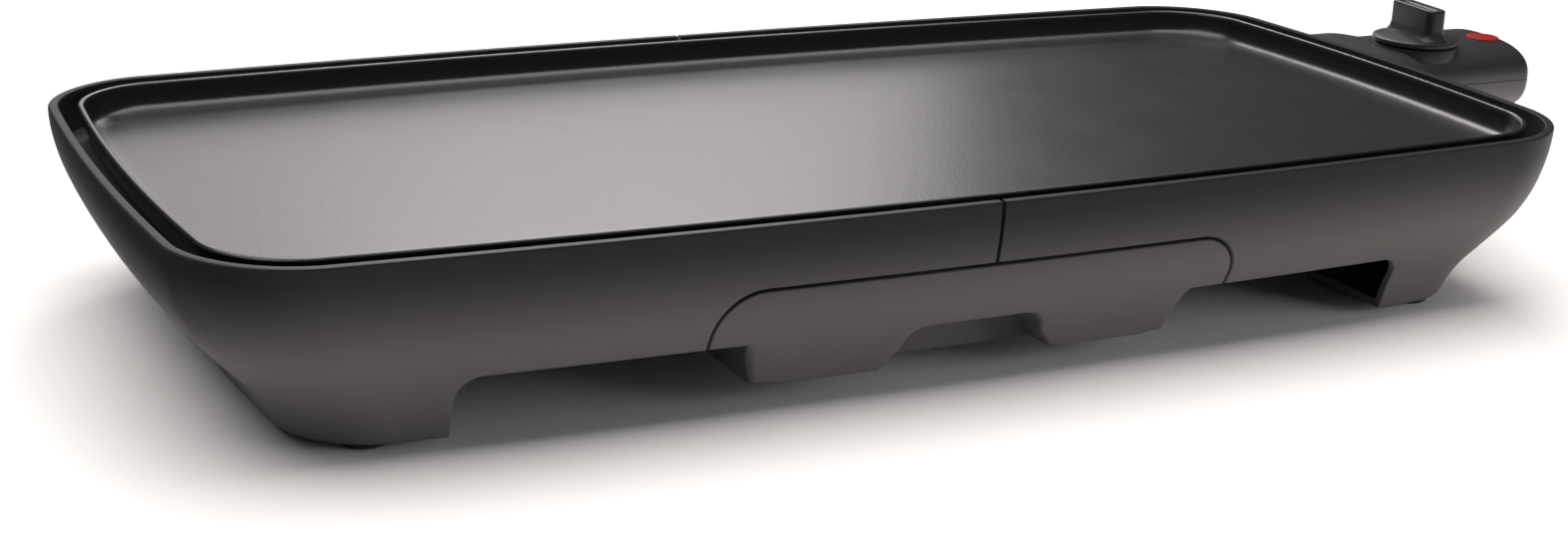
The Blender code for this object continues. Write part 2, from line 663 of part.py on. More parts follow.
def heating_element():
    front_y = PIN_SPOTS["front"]
    rear_y = PIN_SPOTS["rear"]
    turn_x = ELEMENT_END - 34 * MM
    corners = [
        (ELEMENT_END, front_y), (turn_x, front_y), (turn_x, -LOOP_FRONT), (-LOOP_END, -LOOP_FRONT),
        (-LOOP_END, LOOP_BACK), (ELEMENT_END - 22 * MM, LOOP_BACK), (ELEMENT_END, rear_y),
    ]
    spots = [Vector((x, y, SHEATH_Z)) for x, y in corners]
    path = [spots[0] - Vector((back, 0.0, 0.0)) for back in (0.0, 6 * MM, 15 * MM)]
    for before, corner, after in zip(spots[0:4], spots[1:5], spots[2:6]):
        path += round_corner(before, corner, after, LOOP_BEND)
    # The last run steps from the back of the loop across to its terminal.
    sway = [(0.0, 0.0), (0.2, 0.08), (0.4, 0.33), (0.6, 0.67), (0.8, 0.92), (1.0, 1.0)]
    first = Vector((ELEMENT_END - 50 * MM, LOOP_BACK, SHEATH_Z))
    last = Vector((ELEMENT_END - 15 * MM, rear_y, SHEATH_Z))
    for along, across in sway:
        path.append(Vector((first.x + (last.x - first.x) * along,
                            first.y + (last.y - first.y) * across, SHEATH_Z)))
    path += [spots[6] - Vector((back, 0.0, 0.0)) for back in (6 * MM, 0.0)]
    # Both cold ends drop a little, to the height of the pins.
    for end in (path[0], path[1], path[-2], path[-1]):
        end.z = CONNECTOR_Z
    curve = bpy.data.curves.new("heating_element", "CURVE")
    curve.dimensions = "3D"
    curve.bevel_depth = SHEATH_RADIUS
    curve.bevel_resolution = 2
    curve.use_fill_caps = True
    spline = curve.splines.new("POLY")
    spline.points.add(len(path) - 1)
    for point, spot in zip(spline.points, path):
        point.co = (*spot, 1.0)
    curve.materials.append(SHEATH)
    element = bpy.data.objects.new("heating_element", curve)
    bpy.context.collection.objects.link(element)
    element.parent = assembly


heating_element()

for place, pin_y in PIN_SPOTS.items():
    seal_start = ELEMENT_END + GAP
    seal_end = GUARD_X - 3.0 * MM
    rod(f"element_seal_{place}", "X", SHEATH_RADIUS, seal_start, seal_end, pin_y, CONNECTOR_Z, CERAMIC)
    rod(f"terminal_pin_{place}", "X", PIN_RADIUS, seal_end + GAP, PIN_TIP, pin_y, CONNECTOR_Z, BRASS)

for number, (x, y, toward) in enumerate(clamp_spots(), 1):
    strap_high = SHEATH_LOW - GAP
    strap_low = strap_high - CLAMP_THICK
    ends = sorted((y - toward * CLAMP_OVERLAP, y + toward * (CLAMP_LENGTH - CLAMP_OVERLAP)))
    strap = prism(f"element_clamp_{number}",
                  rounded(x - CLAMP_WIDTH / 2, ends[0], x + CLAMP_WIDTH / 2, ends[1], 3 * MM),
                  "Z", strap_low, strap_high, STEEL)
    cut(strap, rod(f"clamp_hole_{number}", "Z", CLAMP_SCREW_RADIUS + GAP, strap_low - 1 * MM,
                   strap_high + 1 * MM, x, y, steps=12))
    head = strap_low - GAP
    shank = CLAMP_SCREW_RADIUS
    turned(f"clamp_screw_{number}",
           [(0.0, head - 2.2 * MM), (2.6 * MM, head - 2.2 * MM), (3.6 * MM, head - 1.2 * MM),
            (3.6 * MM, head), (shank, head), (shank, PLATE_BOTTOM - 1.2 * MM),
            (0.0, PLATE_BOTTOM - 1.2 * MM)], (x, y), STEEL, steps=14)


# ---------------------------------------------------------------- connector on the plate

def plug_guard():
    """Metal shroud round the pins, open towards the end of the base."""
    inner_y = BLOCK_HALF + GUARD_PLAY_Y
    inner_z = BLOCK_HEIGHT / 2 + GUARD_PLAY_Z
    outline_out = rounded(CONTROL_Y - inner_y - GUARD_WALL, CONNECTOR_Z - inner_z - GUARD_WALL,
                          CONTROL_Y + inner_y + GUARD_WALL, CONNECTOR_Z + inner_z + GUARD_WALL, 3 * MM)
    outline_in = rounded(CONTROL_Y - inner_y, CONNECTOR_Z - inner_z,
                         CONTROL_Y + inner_y, CONNECTOR_Z + inner_z, 1.5 * MM)
    guard = prism("plug_guard", outline_out, "X", GUARD_X, GUARD_X + GUARD_DEPTH, STEEL)
    cut(guard, prism("guard_inside", outline_in, "X", GUARD_X + GUARD_WALL, GUARD_X + GUARD_DEPTH + 5 * MM))
    for place, pin_y in PIN_SPOTS.items():
        cut(guard, rod(f"guard_hole_{place}", "X", PIN_RADIUS + GAP, GUARD_X - 1 * MM,
                       GUARD_X + GUARD_WALL + 1 * MM, pin_y, CONNECTOR_Z))
    cut(guard, rod("guard_probe_hole", "X", PROBE_RADIUS + 0.8 * MM, GUARD_X - 1 * MM,
                   GUARD_X + GUARD_WALL + 1 * MM, CONTROL_Y, CONNECTOR_Z))
    return guard


plug_guard()
box("earth_blade", (GUARD_X + GUARD_WALL + GAP, EARTH_Y - 0.5 * MM, CONNECTOR_Z - 3 * MM),
    (PIN_TIP - 2 * MM, EARTH_Y + 0.5 * MM, CONNECTOR_Z + 3 * MM), BRASS)


def probe_tube():
    """Blind tube that the control unit's probe slides into."""
    end = BLOCK_START - PROBE_REACH - 5 * MM
    tube = rod("probe_tube", "X", PROBE_TUBE_RADIUS, end, GUARD_X - 1 * MM, CONTROL_Y, CONNECTOR_Z, STEEL)
    cut(tube, rod("probe_bore", "X", PROBE_RADIUS + 0.6 * MM, end + 2 * MM, GUARD_X, CONTROL_Y,
                  CONNECTOR_Z))
    return tube


probe_tube()


# ---------------------------------------------------------------- drip tray

def panel_outline():
    """Front view of the whole tray: the wide panel, and below it the narrower, tapering part."""
    lower = [(-TRAY_HALF, TRAY_STEP_Z), (-TRAY_STEP_HALF, TRAY_STEP_Z),
             (-TRAY_FOOT_HALF - 0.8 * MM, TRAY_BOTTOM + 2 * MM), (-TRAY_FOOT_HALF + 2 * MM, TRAY_BOTTOM)]
    return tray_outline(0.0) + lower + [(-u, v) for u, v in reversed(lower)]


def drip_tray():
    front = -HALF_Y - 20 * MM
    back = TRAY_DEPTH - HALF_Y
    tray = prism("drip_tray", panel_outline(), "Y", front, -HALF_Y + PANEL_REACH, HOUSING, tray_slide)
    cut(tray, wall_solid("tray_inner_wall", BASE_WALL, -5 * MM, BASE_HEIGHT))
    side_foot = TRAY_FOOT_HALF + 0.8 * MM
    floor_edge = TRAY_FOOT_HALF - 2 * MM
    bin_outline = [(BIN_HALF, BIN_TOP), (-BIN_HALF, BIN_TOP), (-BIN_HALF, TRAY_STEP_Z),
                   (-side_foot, TRAY_BOTTOM + 2 * MM), (-floor_edge, TRAY_BOTTOM),
                   (floor_edge, TRAY_BOTTOM), (side_foot, TRAY_BOTTOM + 2 * MM),
                   (BIN_HALF, TRAY_STEP_Z)]
    join(tray, prism("bin", bin_outline, "Y", -HALF_Y + 2 * MM, back))
    flange_start = -HALF_Y + BEAM_SETBACK - 0.5 * MM
    join(tray, box("flange", (-BIN_HALF - FLANGE, flange_start, BIN_TOP - FLANGE_THICK),
                   (BIN_HALF + FLANGE, back - 8 * MM, BIN_TOP)))
    keep(tray, wall_solid("tray_outer_wall", 0.0, 0.0, BASE_HEIGHT))
    # Finger recess, open at the bottom.
    recess = [(GRIP_HALF + GRIP_FLARE, -20 * MM), (GRIP_HALF + GRIP_FLARE, TRAY_BOTTOM)]
    for i in range(5):
        turn = math.pi / 2 * i / 4
        recess.append((GRIP_HALF - GRIP_CORNER * (1 - math.cos(turn)),
                       GRIP_TOP - GRIP_CORNER * (1 - math.sin(turn))))
    recess += [(-u, v) for u, v in reversed(recess)]
    recess_back = -HALF_Y + SIDE_SLOPE * WALL_CURVE[1][0] + GRIP_DEPTH
    cut(tray, prism("finger_recess", recess, "Y", front, recess_back))
    # Inside of the bin, which keeps clear of the recess.
    inside = wall_solid("tray_inside", BASE_WALL, -5 * MM, BASE_HEIGHT)
    half = TRAY_FOOT_HALF - TRAY_WALL - 1 * MM
    floor = TRAY_BOTTOM + TRAY_WALL
    room = box("bin_room", (-half, -HALF_Y, floor), (half, back - TRAY_WALL, BASE_HEIGHT))
    keep(room, inside)
    grip_wall = GRIP_HALF + GRIP_FLARE + TRAY_WALL
    cut(room, box("recess_shell", (-grip_wall, -HALF_Y - 5 * MM, 0.0),
                  (grip_wall, recess_back + TRAY_WALL, GRIP_TOP + TRAY_WALL)))
    cut(tray, room)
    return tray


drip_tray()


# ---------------------------------------------------------------- control unit

def body_section(x, half_width, up, down, centre_y):
    """Closed superellipse section of the control body, as two half-heights about the split."""
    points = []
    steps = 32
    power = 2 / BODY_POWER
    for i in range(steps):
        turn = 2 * math.pi * i / steps
        across = math.copysign(abs(math.cos(turn)) ** power, math.cos(turn))
        height = math.copysign(abs(math.sin(turn)) ** power, math.sin(turn))
        points.append((x, centre_y + half_width * across, CONTROL_Z + (up if height > 0 else down) * height))
    return points


def control_block(name, inset, material=None, parent=assembly):
    """Solid of the whole control body, less an inset all round."""
    start = SHOULDER_START + inset
    end = CONTROL_END - inset
    sections = []
    for x in (start, SHOULDER_END - 1.5 * MM - 2 * inset):
        sections.append(body_section(x, SHOULDER_HALF - inset, BODY_UP - inset, BODY_DOWN - inset,
                                     CONTROL_Y + SHOULDER_SHIFT))
    sections.append(body_section(SHOULDER_END - 2 * inset, BODY_HALF - inset, BODY_UP - inset,
                                 BODY_DOWN - inset, CONTROL_Y))
    middle = (SHOULDER_END + end) / 2
    sections.append(body_section(middle, BODY_HALF - inset, BODY_UP - inset, BODY_DOWN - inset, CONTROL_Y))
    round_in = max(BODY_ROUND - inset, 2 * MM)
    for i in range(5):
        turn = math.pi / 2 * i / 4
        shrink = round_in * (1 - math.cos(turn))
        sections.append(body_section(end - round_in + round_in * math.sin(turn), BODY_HALF - inset - shrink,
                                     BODY_UP - inset - shrink, BODY_DOWN - inset - shrink, CONTROL_Y))
    return loft(name, sections, material, parent)


SHOULDER_SCREW_X = HALF_X + SHOULDER_SCREW_OUT
OUTER_SCREW_X = HALF_X + OUTER_SCREW_OUT
SCREW_SPOTS = [(SHOULDER_SCREW_X, CONTROL_Y + SHOULDER_SHIFT - SHOULDER_SCREW_APART),
               (SHOULDER_SCREW_X, CONTROL_Y + SHOULDER_SHIFT + SHOULDER_SCREW_APART),
               (OUTER_SCREW_X, CONTROL_Y - OUTER_SCREW_APART), (OUTER_SCREW_X, CONTROL_Y + OUTER_SCREW_APART)]


def half_space(name, side):
    edge = CONTROL_Z + side * GAP / 2
    low, high = sorted((edge, CONTROL_Z - side * 60 * MM))
    return box(name, (SHOULDER_START - 60 * MM, -HALF_Y, low), (CONTROL_END + 60 * MM, HALF_Y, high))


def control_cover():
    cover = control_block("control_cover", 0.0, BLACK, control_slide)
    boss_radius = KNOB_RADIUS - 0.5 * MM
    bevel = 0.6 * MM
    boss = turned("knob_boss", [(0.0, COVER_BOSS_TOP - 12 * MM), (boss_radius, COVER_BOSS_TOP - 12 * MM),
                                (boss_radius, COVER_BOSS_TOP - bevel), (boss_radius - bevel, COVER_BOSS_TOP),
                                (0.0, COVER_BOSS_TOP)], KNOB_SPOT, steps=34)
    join(cover, boss)
    cut(cover, control_block("cover_inside", CONTROL_WALL))
    for number, (x, y) in enumerate(SCREW_SPOTS, 1):
        join(cover, rod(f"cover_post_{number}", "Z", SCREW_POST_RADIUS, CONTROL_Z - 3 * MM,
                        CONTROL_Z + BODY_UP - 3.6 * MM, x, y, steps=14))
    cut(cover, half_space("below_split", 1))
    cut(cover, rod("spindle_hole", "Z", SPINDLE_RADIUS + 4 * MM, CONTROL_Z, KNOB_TOP, KNOB_X, KNOB_Y))
    cut(cover, rod("lens_hole", "Z", LENS_RADIUS + GAP, CONTROL_Z, KNOB_TOP, LENS_X, LENS_Y, steps=28))
    cut(cover, block_window("cover_block_window"))
    cut(cover, gland_hole("cover_gland_hole"))
    for number, (x, y) in enumerate(SCREW_SPOTS, 1):
        cut(cover, rod(f"cover_thread_{number}", "Z", SCREW_HOLE_RADIUS, CONTROL_Z - 1 * MM,
                       SCREW_TIP + 1 * MM, x, y, steps=12))
    return cover


def control_base():
    lower = control_block("control_base", 0.0, BLACK, control_slide)
    cut(lower, control_block("base_inside", CONTROL_WALL))
    for number, (x, y) in enumerate(SCREW_SPOTS, 1):
        join(lower, rod(f"base_post_{number}", "Z", SCREW_HOUSING_RADIUS, CONTROL_Z - BODY_DOWN,
                        CONTROL_Z + 3 * MM, x, y, steps=16))
    keep(lower, control_block("base_outside", 0.0))
    cut(lower, half_space("above_split", -1))
    cut(lower, block_window("base_block_window"))
    cut(lower, gland_hole("base_gland_hole"))
    for number, (x, y) in enumerate(SCREW_SPOTS, 1):
        cut(lower, rod(f"base_screw_hole_{number}", "Z", SCREW_HOLE_RADIUS, 0.0, CONTROL_Z + 1 * MM, x, y,
                       steps=12))
        cut(lower, rod(f"base_head_hole_{number}", "Z", SCREW_HEAD_HOLE_RADIUS, 0.0, SCREW_SEAT, x, y,
                       steps=14))
    return lower


def block_window(name):
    half_z = BLOCK_HEIGHT / 2 + GAP
    return box(name, (SHOULDER_START - 10 * MM, CONTROL_Y - BLOCK_HALF - GAP, CONNECTOR_Z - half_z),
               (SHOULDER_START + CONTROL_WALL + 1 * MM, CONTROL_Y + BLOCK_HALF + GAP, CONNECTOR_Z + half_z))


def gland_hole(name):
    return rod(name, "X", GLAND_RADIUS + GAP, CONTROL_END - CONTROL_WALL - 4 * MM, CONTROL_END + 5 * MM,
               CONTROL_Y, CONTROL_Z)


control_cover()
control_base()
for number, (x, y) in enumerate(SCREW_SPOTS, 1):
    turned(f"cover_screw_{number}",
           [(0.0, SCREW_SEAT - 2.6 * MM), (2.2 * MM, SCREW_SEAT - 2.6 * MM),
            (2.9 * MM, SCREW_SEAT - 1.6 * MM), (2.9 * MM, SCREW_SEAT - GAP),
            (1.5 * MM, SCREW_SEAT - GAP), (1.5 * MM, SCREW_TIP), (0.0, SCREW_TIP)],
           (x, y), STEEL, control_slide, 14)


def socket_block():
    """Heat-resistant block that reaches through the base's window into the plug guard."""
    half_z = BLOCK_HEIGHT / 2
    block = box("socket_block", (BLOCK_START, CONTROL_Y - BLOCK_HALF, CONNECTOR_Z - half_z),
                (SHOULDER_START + BLOCK_INSERT, CONTROL_Y + BLOCK_HALF, CONNECTOR_Z + half_z),
                BLACK, control_slide)
    for place, pin_y in PIN_SPOTS.items():
        cut(block, rod(f"socket_{place}", "X", PIN_RADIUS + 2 * GAP + CONTACT_WALL, BLOCK_START - 1 * MM,
                       PIN_TIP + 2 * MM, pin_y, CONNECTOR_Z))
    cut(block, rod("probe_passage", "X", PROBE_RADIUS + GAP, BLOCK_START - 1 * MM, SHOULDER_START + 9 * MM,
                   CONTROL_Y, CONNECTOR_Z))
    cut(block, box("earth_slot", (BLOCK_START - 1 * MM, EARTH_Y - 1.2 * MM, CONNECTOR_Z - 3.8 * MM),
                   (PIN_TIP + 1 * MM, EARTH_Y + 1.2 * MM, CONNECTOR_Z + 3.8 * MM)))
    return block


socket_block()
for place, pin_y in PIN_SPOTS.items():
    ring_tube(f"contact_tube_{place}", "X", PIN_RADIUS + GAP + CONTACT_WALL, PIN_RADIUS + GAP,
              BLOCK_START + 1 * MM, PIN_TIP + 1 * MM, pin_y, CONNECTOR_Z, BRASS, control_slide)

ROD_END = SHOULDER_START + 22 * MM
rod("probe_rod", "X", PROBE_RADIUS, BLOCK_START - PROBE_REACH, ROD_END, CONTROL_Y, CONNECTOR_Z, STEEL,
    control_slide)
NUT_START = SHOULDER_START + BLOCK_INSERT + GAP
nut = rod("probe_nut", "X", NUT_RADIUS, NUT_START, NUT_START + NUT_LENGTH, CONTROL_Y, CONNECTOR_Z, STEEL,
          control_slide, 6)
cut(nut, rod("nut_bore", "X", PROBE_RADIUS + GAP, NUT_START - 1 * MM, NUT_START + NUT_LENGTH + 1 * MM,
             CONTROL_Y, CONNECTOR_Z))


def thermostat():
    """Snap switch under the knob: a bent frame, a ceramic stack and two leaf contacts."""
    floor = THERMOSTAT_FLOOR
    sheet = THERMOSTAT_SHEET
    low = (KNOB_X - THERMOSTAT_REACH, KNOB_Y - THERMOSTAT_HALF)
    high = (KNOB_X + THERMOSTAT_REACH, KNOB_Y + THERMOSTAT_HALF)
    frame = box("thermostat_frame", (*low, floor), (*high, floor + sheet), STEEL, control_slide)
    join(frame, box("frame_arm", (low[0], low[1], floor + sheet / 3),
                    (low[0] + sheet, high[1], THERMOSTAT_TOP)))
    join(frame, box("frame_top", (low[0] + sheet / 3, low[1], THERMOSTAT_TOP - sheet),
                    (KNOB_X + THERMOSTAT_HALF, high[1], THERMOSTAT_TOP)))
    cut(frame, rod("frame_bore", "Z", SPINDLE_RADIUS + GAP, THERMOSTAT_TOP - 2 * sheet,
                   THERMOSTAT_TOP + sheet, KNOB_X, KNOB_Y))
    stack_x = KNOB_X + THERMOSTAT_REACH - 4 * MM
    stack_top = floor + 6 * MM
    rod("insulator_stack", "Z", 3 * MM, floor + sheet + GAP, stack_top, stack_x, KNOB_Y,
        CERAMIC, control_slide)
    for name, height in (("fixed_contact", stack_top + GAP), ("moving_contact", stack_top + 3 * MM)):
        box(name, (KNOB_X - 8 * MM, KNOB_Y - 3 * MM, height),
            (KNOB_X + THERMOSTAT_REACH - 1 * MM, KNOB_Y + 3 * MM, height + LEAF_THICK), BRASS, control_slide)


thermostat()
turned("indicator_lens",
       [(0.0, LENS_LOW), (LENS_RADIUS - 1.5 * MM, LENS_LOW), (LENS_RADIUS, LENS_LOW + 1 * MM),
        (LENS_RADIUS, LENS_LOW + 3.5 * MM), (LENS_RADIUS - 0.6 * MM, LENS_LOW + 4 * MM),
        (LENS_RADIUS - 3 * MM, LENS_LOW + 4.4 * MM), (0.0, LENS_LOW + 4.6 * MM)],
       (LENS_X, LENS_Y), RED, control_slide, 28)
rod("indicator_lamp", "Y", LAMP_RADIUS, LENS_Y - 7 * MM, LENS_Y + 7 * MM, LENS_X - 1 * MM,
    LENS_LOW - LAMP_RADIUS - 1.7 * MM, GLASS, control_slide, 16)
box("terminal_block", (LENS_X - 26 * MM, CONTROL_Y - 11 * MM, CONTROL_Z - 14.5 * MM),
    (LENS_X - 10 * MM, CONTROL_Y + 11 * MM, CONTROL_Z - 5 * MM), CERAMIC, control_slide)


def cord_gland():
    """Bush for the supply cord in the outer end of the control unit."""
    start = CONTROL_END - CONTROL_WALL - 3 * MM
    rings = []
    for radius, x in ((GLAND_RADIUS - 2 * MM, start), (GLAND_RADIUS - GAP, start),
                      (GLAND_RADIUS - GAP, CONTROL_END - GAP), (GLAND_RADIUS - 2 * MM, CONTROL_END - GAP)):
        rings.append([(x, u, v) for u, v in circle(radius, 20, CONTROL_Y, CONTROL_Z)])
    return loft("cord_gland", rings, RUBBER, control_slide, closed=True)


cord_gland()


# ---------------------------------------------------------------- knob

def control_knob():
    foot = KNOB_FOOT
    edge = KNOB_EDGE
    dome = KNOB_DOME
    disc = turned("control_knob", [
        (0.0, foot), (KNOB_RADIUS - 0.4 * MM, foot), (KNOB_RADIUS, foot + 0.4 * MM),
        (KNOB_RADIUS - 0.4 * MM, edge), (KNOB_RADIUS - 5 * MM, edge + 0.6 * MM),
        (KNOB_RADIUS - 12 * MM, dome - 0.2 * MM), (0.0, dome)], (0.0, 0.0), BLACK, knob_axis)
    half_length = GRIP_BAR_LENGTH / 2
    half_width = GRIP_BAR_WIDTH / 2
    rings = []
    for grow, height in ((-0.4, edge + 0.2 * MM), (-0.2, dome + 3 * MM), (0.0, KNOB_TOP - 0.8 * MM),
                         (-0.8, KNOB_TOP)):
        grow *= MM
        outline = rounded(-half_width - grow, -half_length - grow, half_width + grow, half_length + grow,
                          half_width - 1 * MM, 5)
        rings.append([(u, v, height) for u, v in outline])
    bar = loft("grip_bar", rings, None, knob_axis)
    bar.rotation_euler = (0.0, 0.0, GRIP_BAR_TURN)
    join(disc, bar)
    dish = prism("grip_dish", rounded(-half_width + 2.2 * MM, -half_length + 3 * MM, half_width - 2.2 * MM,
                                      half_length - 3 * MM, 2.5 * MM), "Z", KNOB_TOP - 1.2 * MM,
                 KNOB_TOP + 3 * MM, None, knob_axis)
    dish.rotation_euler = (0.0, 0.0, GRIP_BAR_TURN)
    cut(disc, dish)
    join(disc, rod("knob_hub", "Z", SPINDLE_RADIUS + 3 * MM, foot - 2.5 * MM, foot + 1 * MM, 0.0, 0.0, None,
                   knob_axis))
    cut(disc, rod("knob_bore", "Z", SPINDLE_RADIUS + GAP, foot - 5 * MM, foot + 3 * MM, 0.0, 0.0, None,
                  knob_axis))
    return disc


control_knob()
rod("knob_spindle", "Z", SPINDLE_RADIUS, SPINDLE_LOW, KNOB_EDGE, 0.0, 0.0, STEEL, knob_axis)
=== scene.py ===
"""Looks of an electric griddle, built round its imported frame. Shapes are given in millimetres about
the middle of the base and turned into the frame's metres as each piece is made."""

import math

import bmesh
import bpy
from mathutils import Matrix, Vector


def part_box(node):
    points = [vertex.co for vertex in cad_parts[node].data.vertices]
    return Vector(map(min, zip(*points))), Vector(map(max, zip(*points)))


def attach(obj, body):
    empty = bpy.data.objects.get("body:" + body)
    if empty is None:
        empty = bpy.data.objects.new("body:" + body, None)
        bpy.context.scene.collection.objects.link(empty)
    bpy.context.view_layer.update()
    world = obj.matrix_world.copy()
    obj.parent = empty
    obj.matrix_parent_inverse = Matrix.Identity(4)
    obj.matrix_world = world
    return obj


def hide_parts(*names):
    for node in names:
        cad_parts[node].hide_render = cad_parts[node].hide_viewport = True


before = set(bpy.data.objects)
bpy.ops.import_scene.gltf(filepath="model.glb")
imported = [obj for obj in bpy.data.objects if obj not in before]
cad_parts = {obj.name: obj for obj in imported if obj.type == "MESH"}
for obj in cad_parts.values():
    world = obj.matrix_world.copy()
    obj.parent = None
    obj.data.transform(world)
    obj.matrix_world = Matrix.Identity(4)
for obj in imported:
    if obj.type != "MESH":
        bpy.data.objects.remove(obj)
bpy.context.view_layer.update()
scene = bpy.context.scene


# ---------------------------------------------------------------- camera
# Stands low in front of the griddle and towards its left end, and looks down the long side.
# The long lens keeps the far end nearly as large as the near one.

CAMERA_PLACE = (-0.494, -0.8442, 0.3073)
CAMERA_RIGHT = (0.8986, -0.4375, 0.0336)
CAMERA_UP = (0.1058, 0.2904, 0.951)
CAMERA_AHEAD = (0.4258, 0.851, -0.3073)

camera_data = bpy.data.cameras.new("camera")
camera_data.sensor_width = 36.0
camera_data.lens = 56.69
camera_data.shift_x = 0.0075
camera_data.shift_y = 0.0009
camera_data.clip_start = 0.01
camera = bpy.data.objects.new("camera", camera_data)
scene.collection.objects.link(camera)
camera_axes = Matrix((CAMERA_RIGHT, CAMERA_UP, [-part for part in CAMERA_AHEAD])).transposed()
camera.matrix_world = Matrix.Translation(CAMERA_PLACE) @ camera_axes.to_4x4()
scene.camera = camera


# ---------------------------------------------------------------- studio
# A wide pale table under soft boxes: one overhead, a low one behind that shines along the cooking
# surface, a high one behind that draws the rims, and one in front at the right, which lights the
# sides but isn't mirrored in them.

HALF_FLOOR = 7.0
FLOOR_COLOUR = (0.86, 0.86, 0.86)
ROOM_COLOUR = (1.0, 0.99, 0.98)
ROOM_STRENGTH = 0.07
LAMP_COLOUR = (1.0, 0.965, 0.95)
CLOTH_LOW = (-1.1, -0.25)
CLOTH_HIGH = (-0.345, 1.1)
CLOTH_HEIGHT = 0.002
CLOTH_COLOUR = (0.01, 0.01, 0.01)

scene.view_settings.view_transform = "Standard"


def sheet(name, low, high, height, colour, roughness, specular):
    """Level rectangle of one even material."""
    mesh = bpy.data.meshes.new(name)
    corners = [(low[0], low[1]), (high[0], low[1]), (high[0], high[1]), (low[0], high[1])]
    mesh.from_pydata([(x, y, height) for x, y in corners], [], [(0, 1, 2, 3)])
    finish = bpy.data.materials.new(name)
    finish.use_nodes = True
    shader = finish.node_tree.nodes["Principled BSDF"]
    shader.inputs["Base Color"].default_value = (*colour, 1.0)
    shader.inputs["Roughness"].default_value = roughness
    shader.inputs["Specular IOR Level"].default_value = specular
    mesh.materials.append(finish)
    made = bpy.data.objects.new(name, mesh)
    scene.collection.objects.link(made)
    return made


floor = sheet("studio_floor", (-HALF_FLOOR, -HALF_FLOOR), (HALF_FLOOR, HALF_FLOOR), 0.0, FLOOR_COLOUR,
              0.9, 0.1)

room = bpy.data.worlds.new("room")
room.use_nodes = True
room.node_tree.nodes["Background"].inputs["Color"].default_value = (*ROOM_COLOUR, 1.0)
room.node_tree.nodes["Background"].inputs["Strength"].default_value = ROOM_STRENGTH
scene.world = room


def soft_box(name, place, aim, size, power):
    lamp = bpy.data.lights.new(name, "AREA")
    lamp.shape = "RECTANGLE"
    lamp.size = size[0]
    lamp.size_y = size[1]
    lamp.energy = power
    lamp.color = LAMP_COLOUR
    holder = bpy.data.objects.new(name, lamp)
    scene.collection.objects.link(holder)
    holder.location = place
    holder.rotation_euler = (Vector(aim) - Vector(place)).to_track_quat("-Z", "Y").to_euler()
    return holder


soft_box("overhead_box", (-0.4, 0.35, 2.2), (-0.4, 0.15, 0.0), (3.6, 2.6), 108.0)
soft_box("rear_box", (0.48, 2.3, 0.95), (0.48, 0.0, 0.95), (1.76, 1.5), 11.4)
soft_box("high_box", (0.85, 2.3, 1.75), (0.2, 0.0, 0.06), (0.9, 0.6), 24.0)
right_box = soft_box("right_box", (1.45, -1.2, 0.42), (0.25, -0.05, 0.05), (1.5, 0.75), 18.0)
right_box.visible_glossy = False

# A black cloth on the table by the left end keeps the white table out of that end's reflection.
cloth = sheet("studio_cloth", CLOTH_LOW, CLOTH_HIGH, CLOTH_HEIGHT, CLOTH_COLOUR, 0.5, 0.5)
cloth.visible_camera = False
cloth.visible_shadow = False
cloth.visible_diffuse = False


# ---------------------------------------------------------------- base housing
# Two halves of moulded dark grey plastic with a fine satin grain. They meet at a seam in the middle,
# where tongues on the left half lie behind the walls of the right one, and stand on four feet.

MM = 0.001
base_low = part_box("base_left")[0]
base_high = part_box("base_right")[1]
MIDDLE_X = (base_low.x + base_high.x) / 2
HALF_LENGTH = (base_high.x - base_low.x) / 2 / MM
HALF_WIDTH = (base_high.y - base_low.y) / 2 / MM
BASE_HEIGHT = base_high.z / MM
END_BOW = 6.4
SIDE_BOW = 8.2
RIM_CORNER = 40.0
CORNER_SHRINK = 0.3
SIDE_SLOPE = 0.558
BASE_WALL = 3.0
RIM_ROUND = 0.9
FOOT_BOTTOM = 2.9
FOOT_FLOOR = 3.0
FOOT_SPAN = 194.0
FOOT_GAP_TOP = 26.9
FOOT_GAP_CORNER = 9.0
EDGE_EASE = 0.6
SEAM_GAP = 1.5
ROW_START = 4.6
ROW_STEP = 1.9
LEDGE_TOP = 57.5
LEDGE_THICK = 2.5
LEDGE_REACH = 30.0
LEDGE_CUT_LOW = 51.5
LEDGE_CUT_HIGH = 60.5
SPOUT_GAP_HALF = 40.0
END_FLOOR_REACH = 270.0
END_FLOOR_HALF = 130.0
BEAM_SETBACK = 18.0
BEAM_X = 94.5
BEAM_HALF = 1.5
BEAM_BOTTOM = 27.9
BEAM_TOP = 46.0
LIP_INNER_X = 89.0
LIP_BACK_Y = -33.25
LIP_BOTTOM = 38.9
LIP_TOP = 41.4
RIB_HALF = 1.2
TONGUE_BOTTOM = 60.0
TONGUE_TOP = 68.0
TONGUE_THICK = 3.0
TONGUE_PLAY = 1.2
TONGUE_START = -24.0
TONGUE_END = 20.0
TONGUE_ROOT_END = -4.0
TONGUE_ROOT_DEPTH = 8.0
BELOW = -20.0
WALL_LEANS = ((37.0, FOOT_BOTTOM), (33.7, 9.8), (29.1, 16.8), (24.4, 22.0), (19.4, 27.3), (14.7, 32.4),
              (10.4, 37.7), (7.3, 42.8), (4.75, 48.2), (3.0, 53.4), (1.6, 58.7), (0.6, 64.0), (0.0, 69.6))
CORNER_STEPS = 20
SIDE_STEPS = 44
END_STEPS = 18
HOUSING_COLOUR = (0.014, 0.0132, 0.0128)
# The lower colour is painted light: the lit floor's bounce on the lower walls, painted into the plastic.
HOUSING_PAINTED_BOUNCE_COLOUR = (0.100, 0.0955, 0.0945)


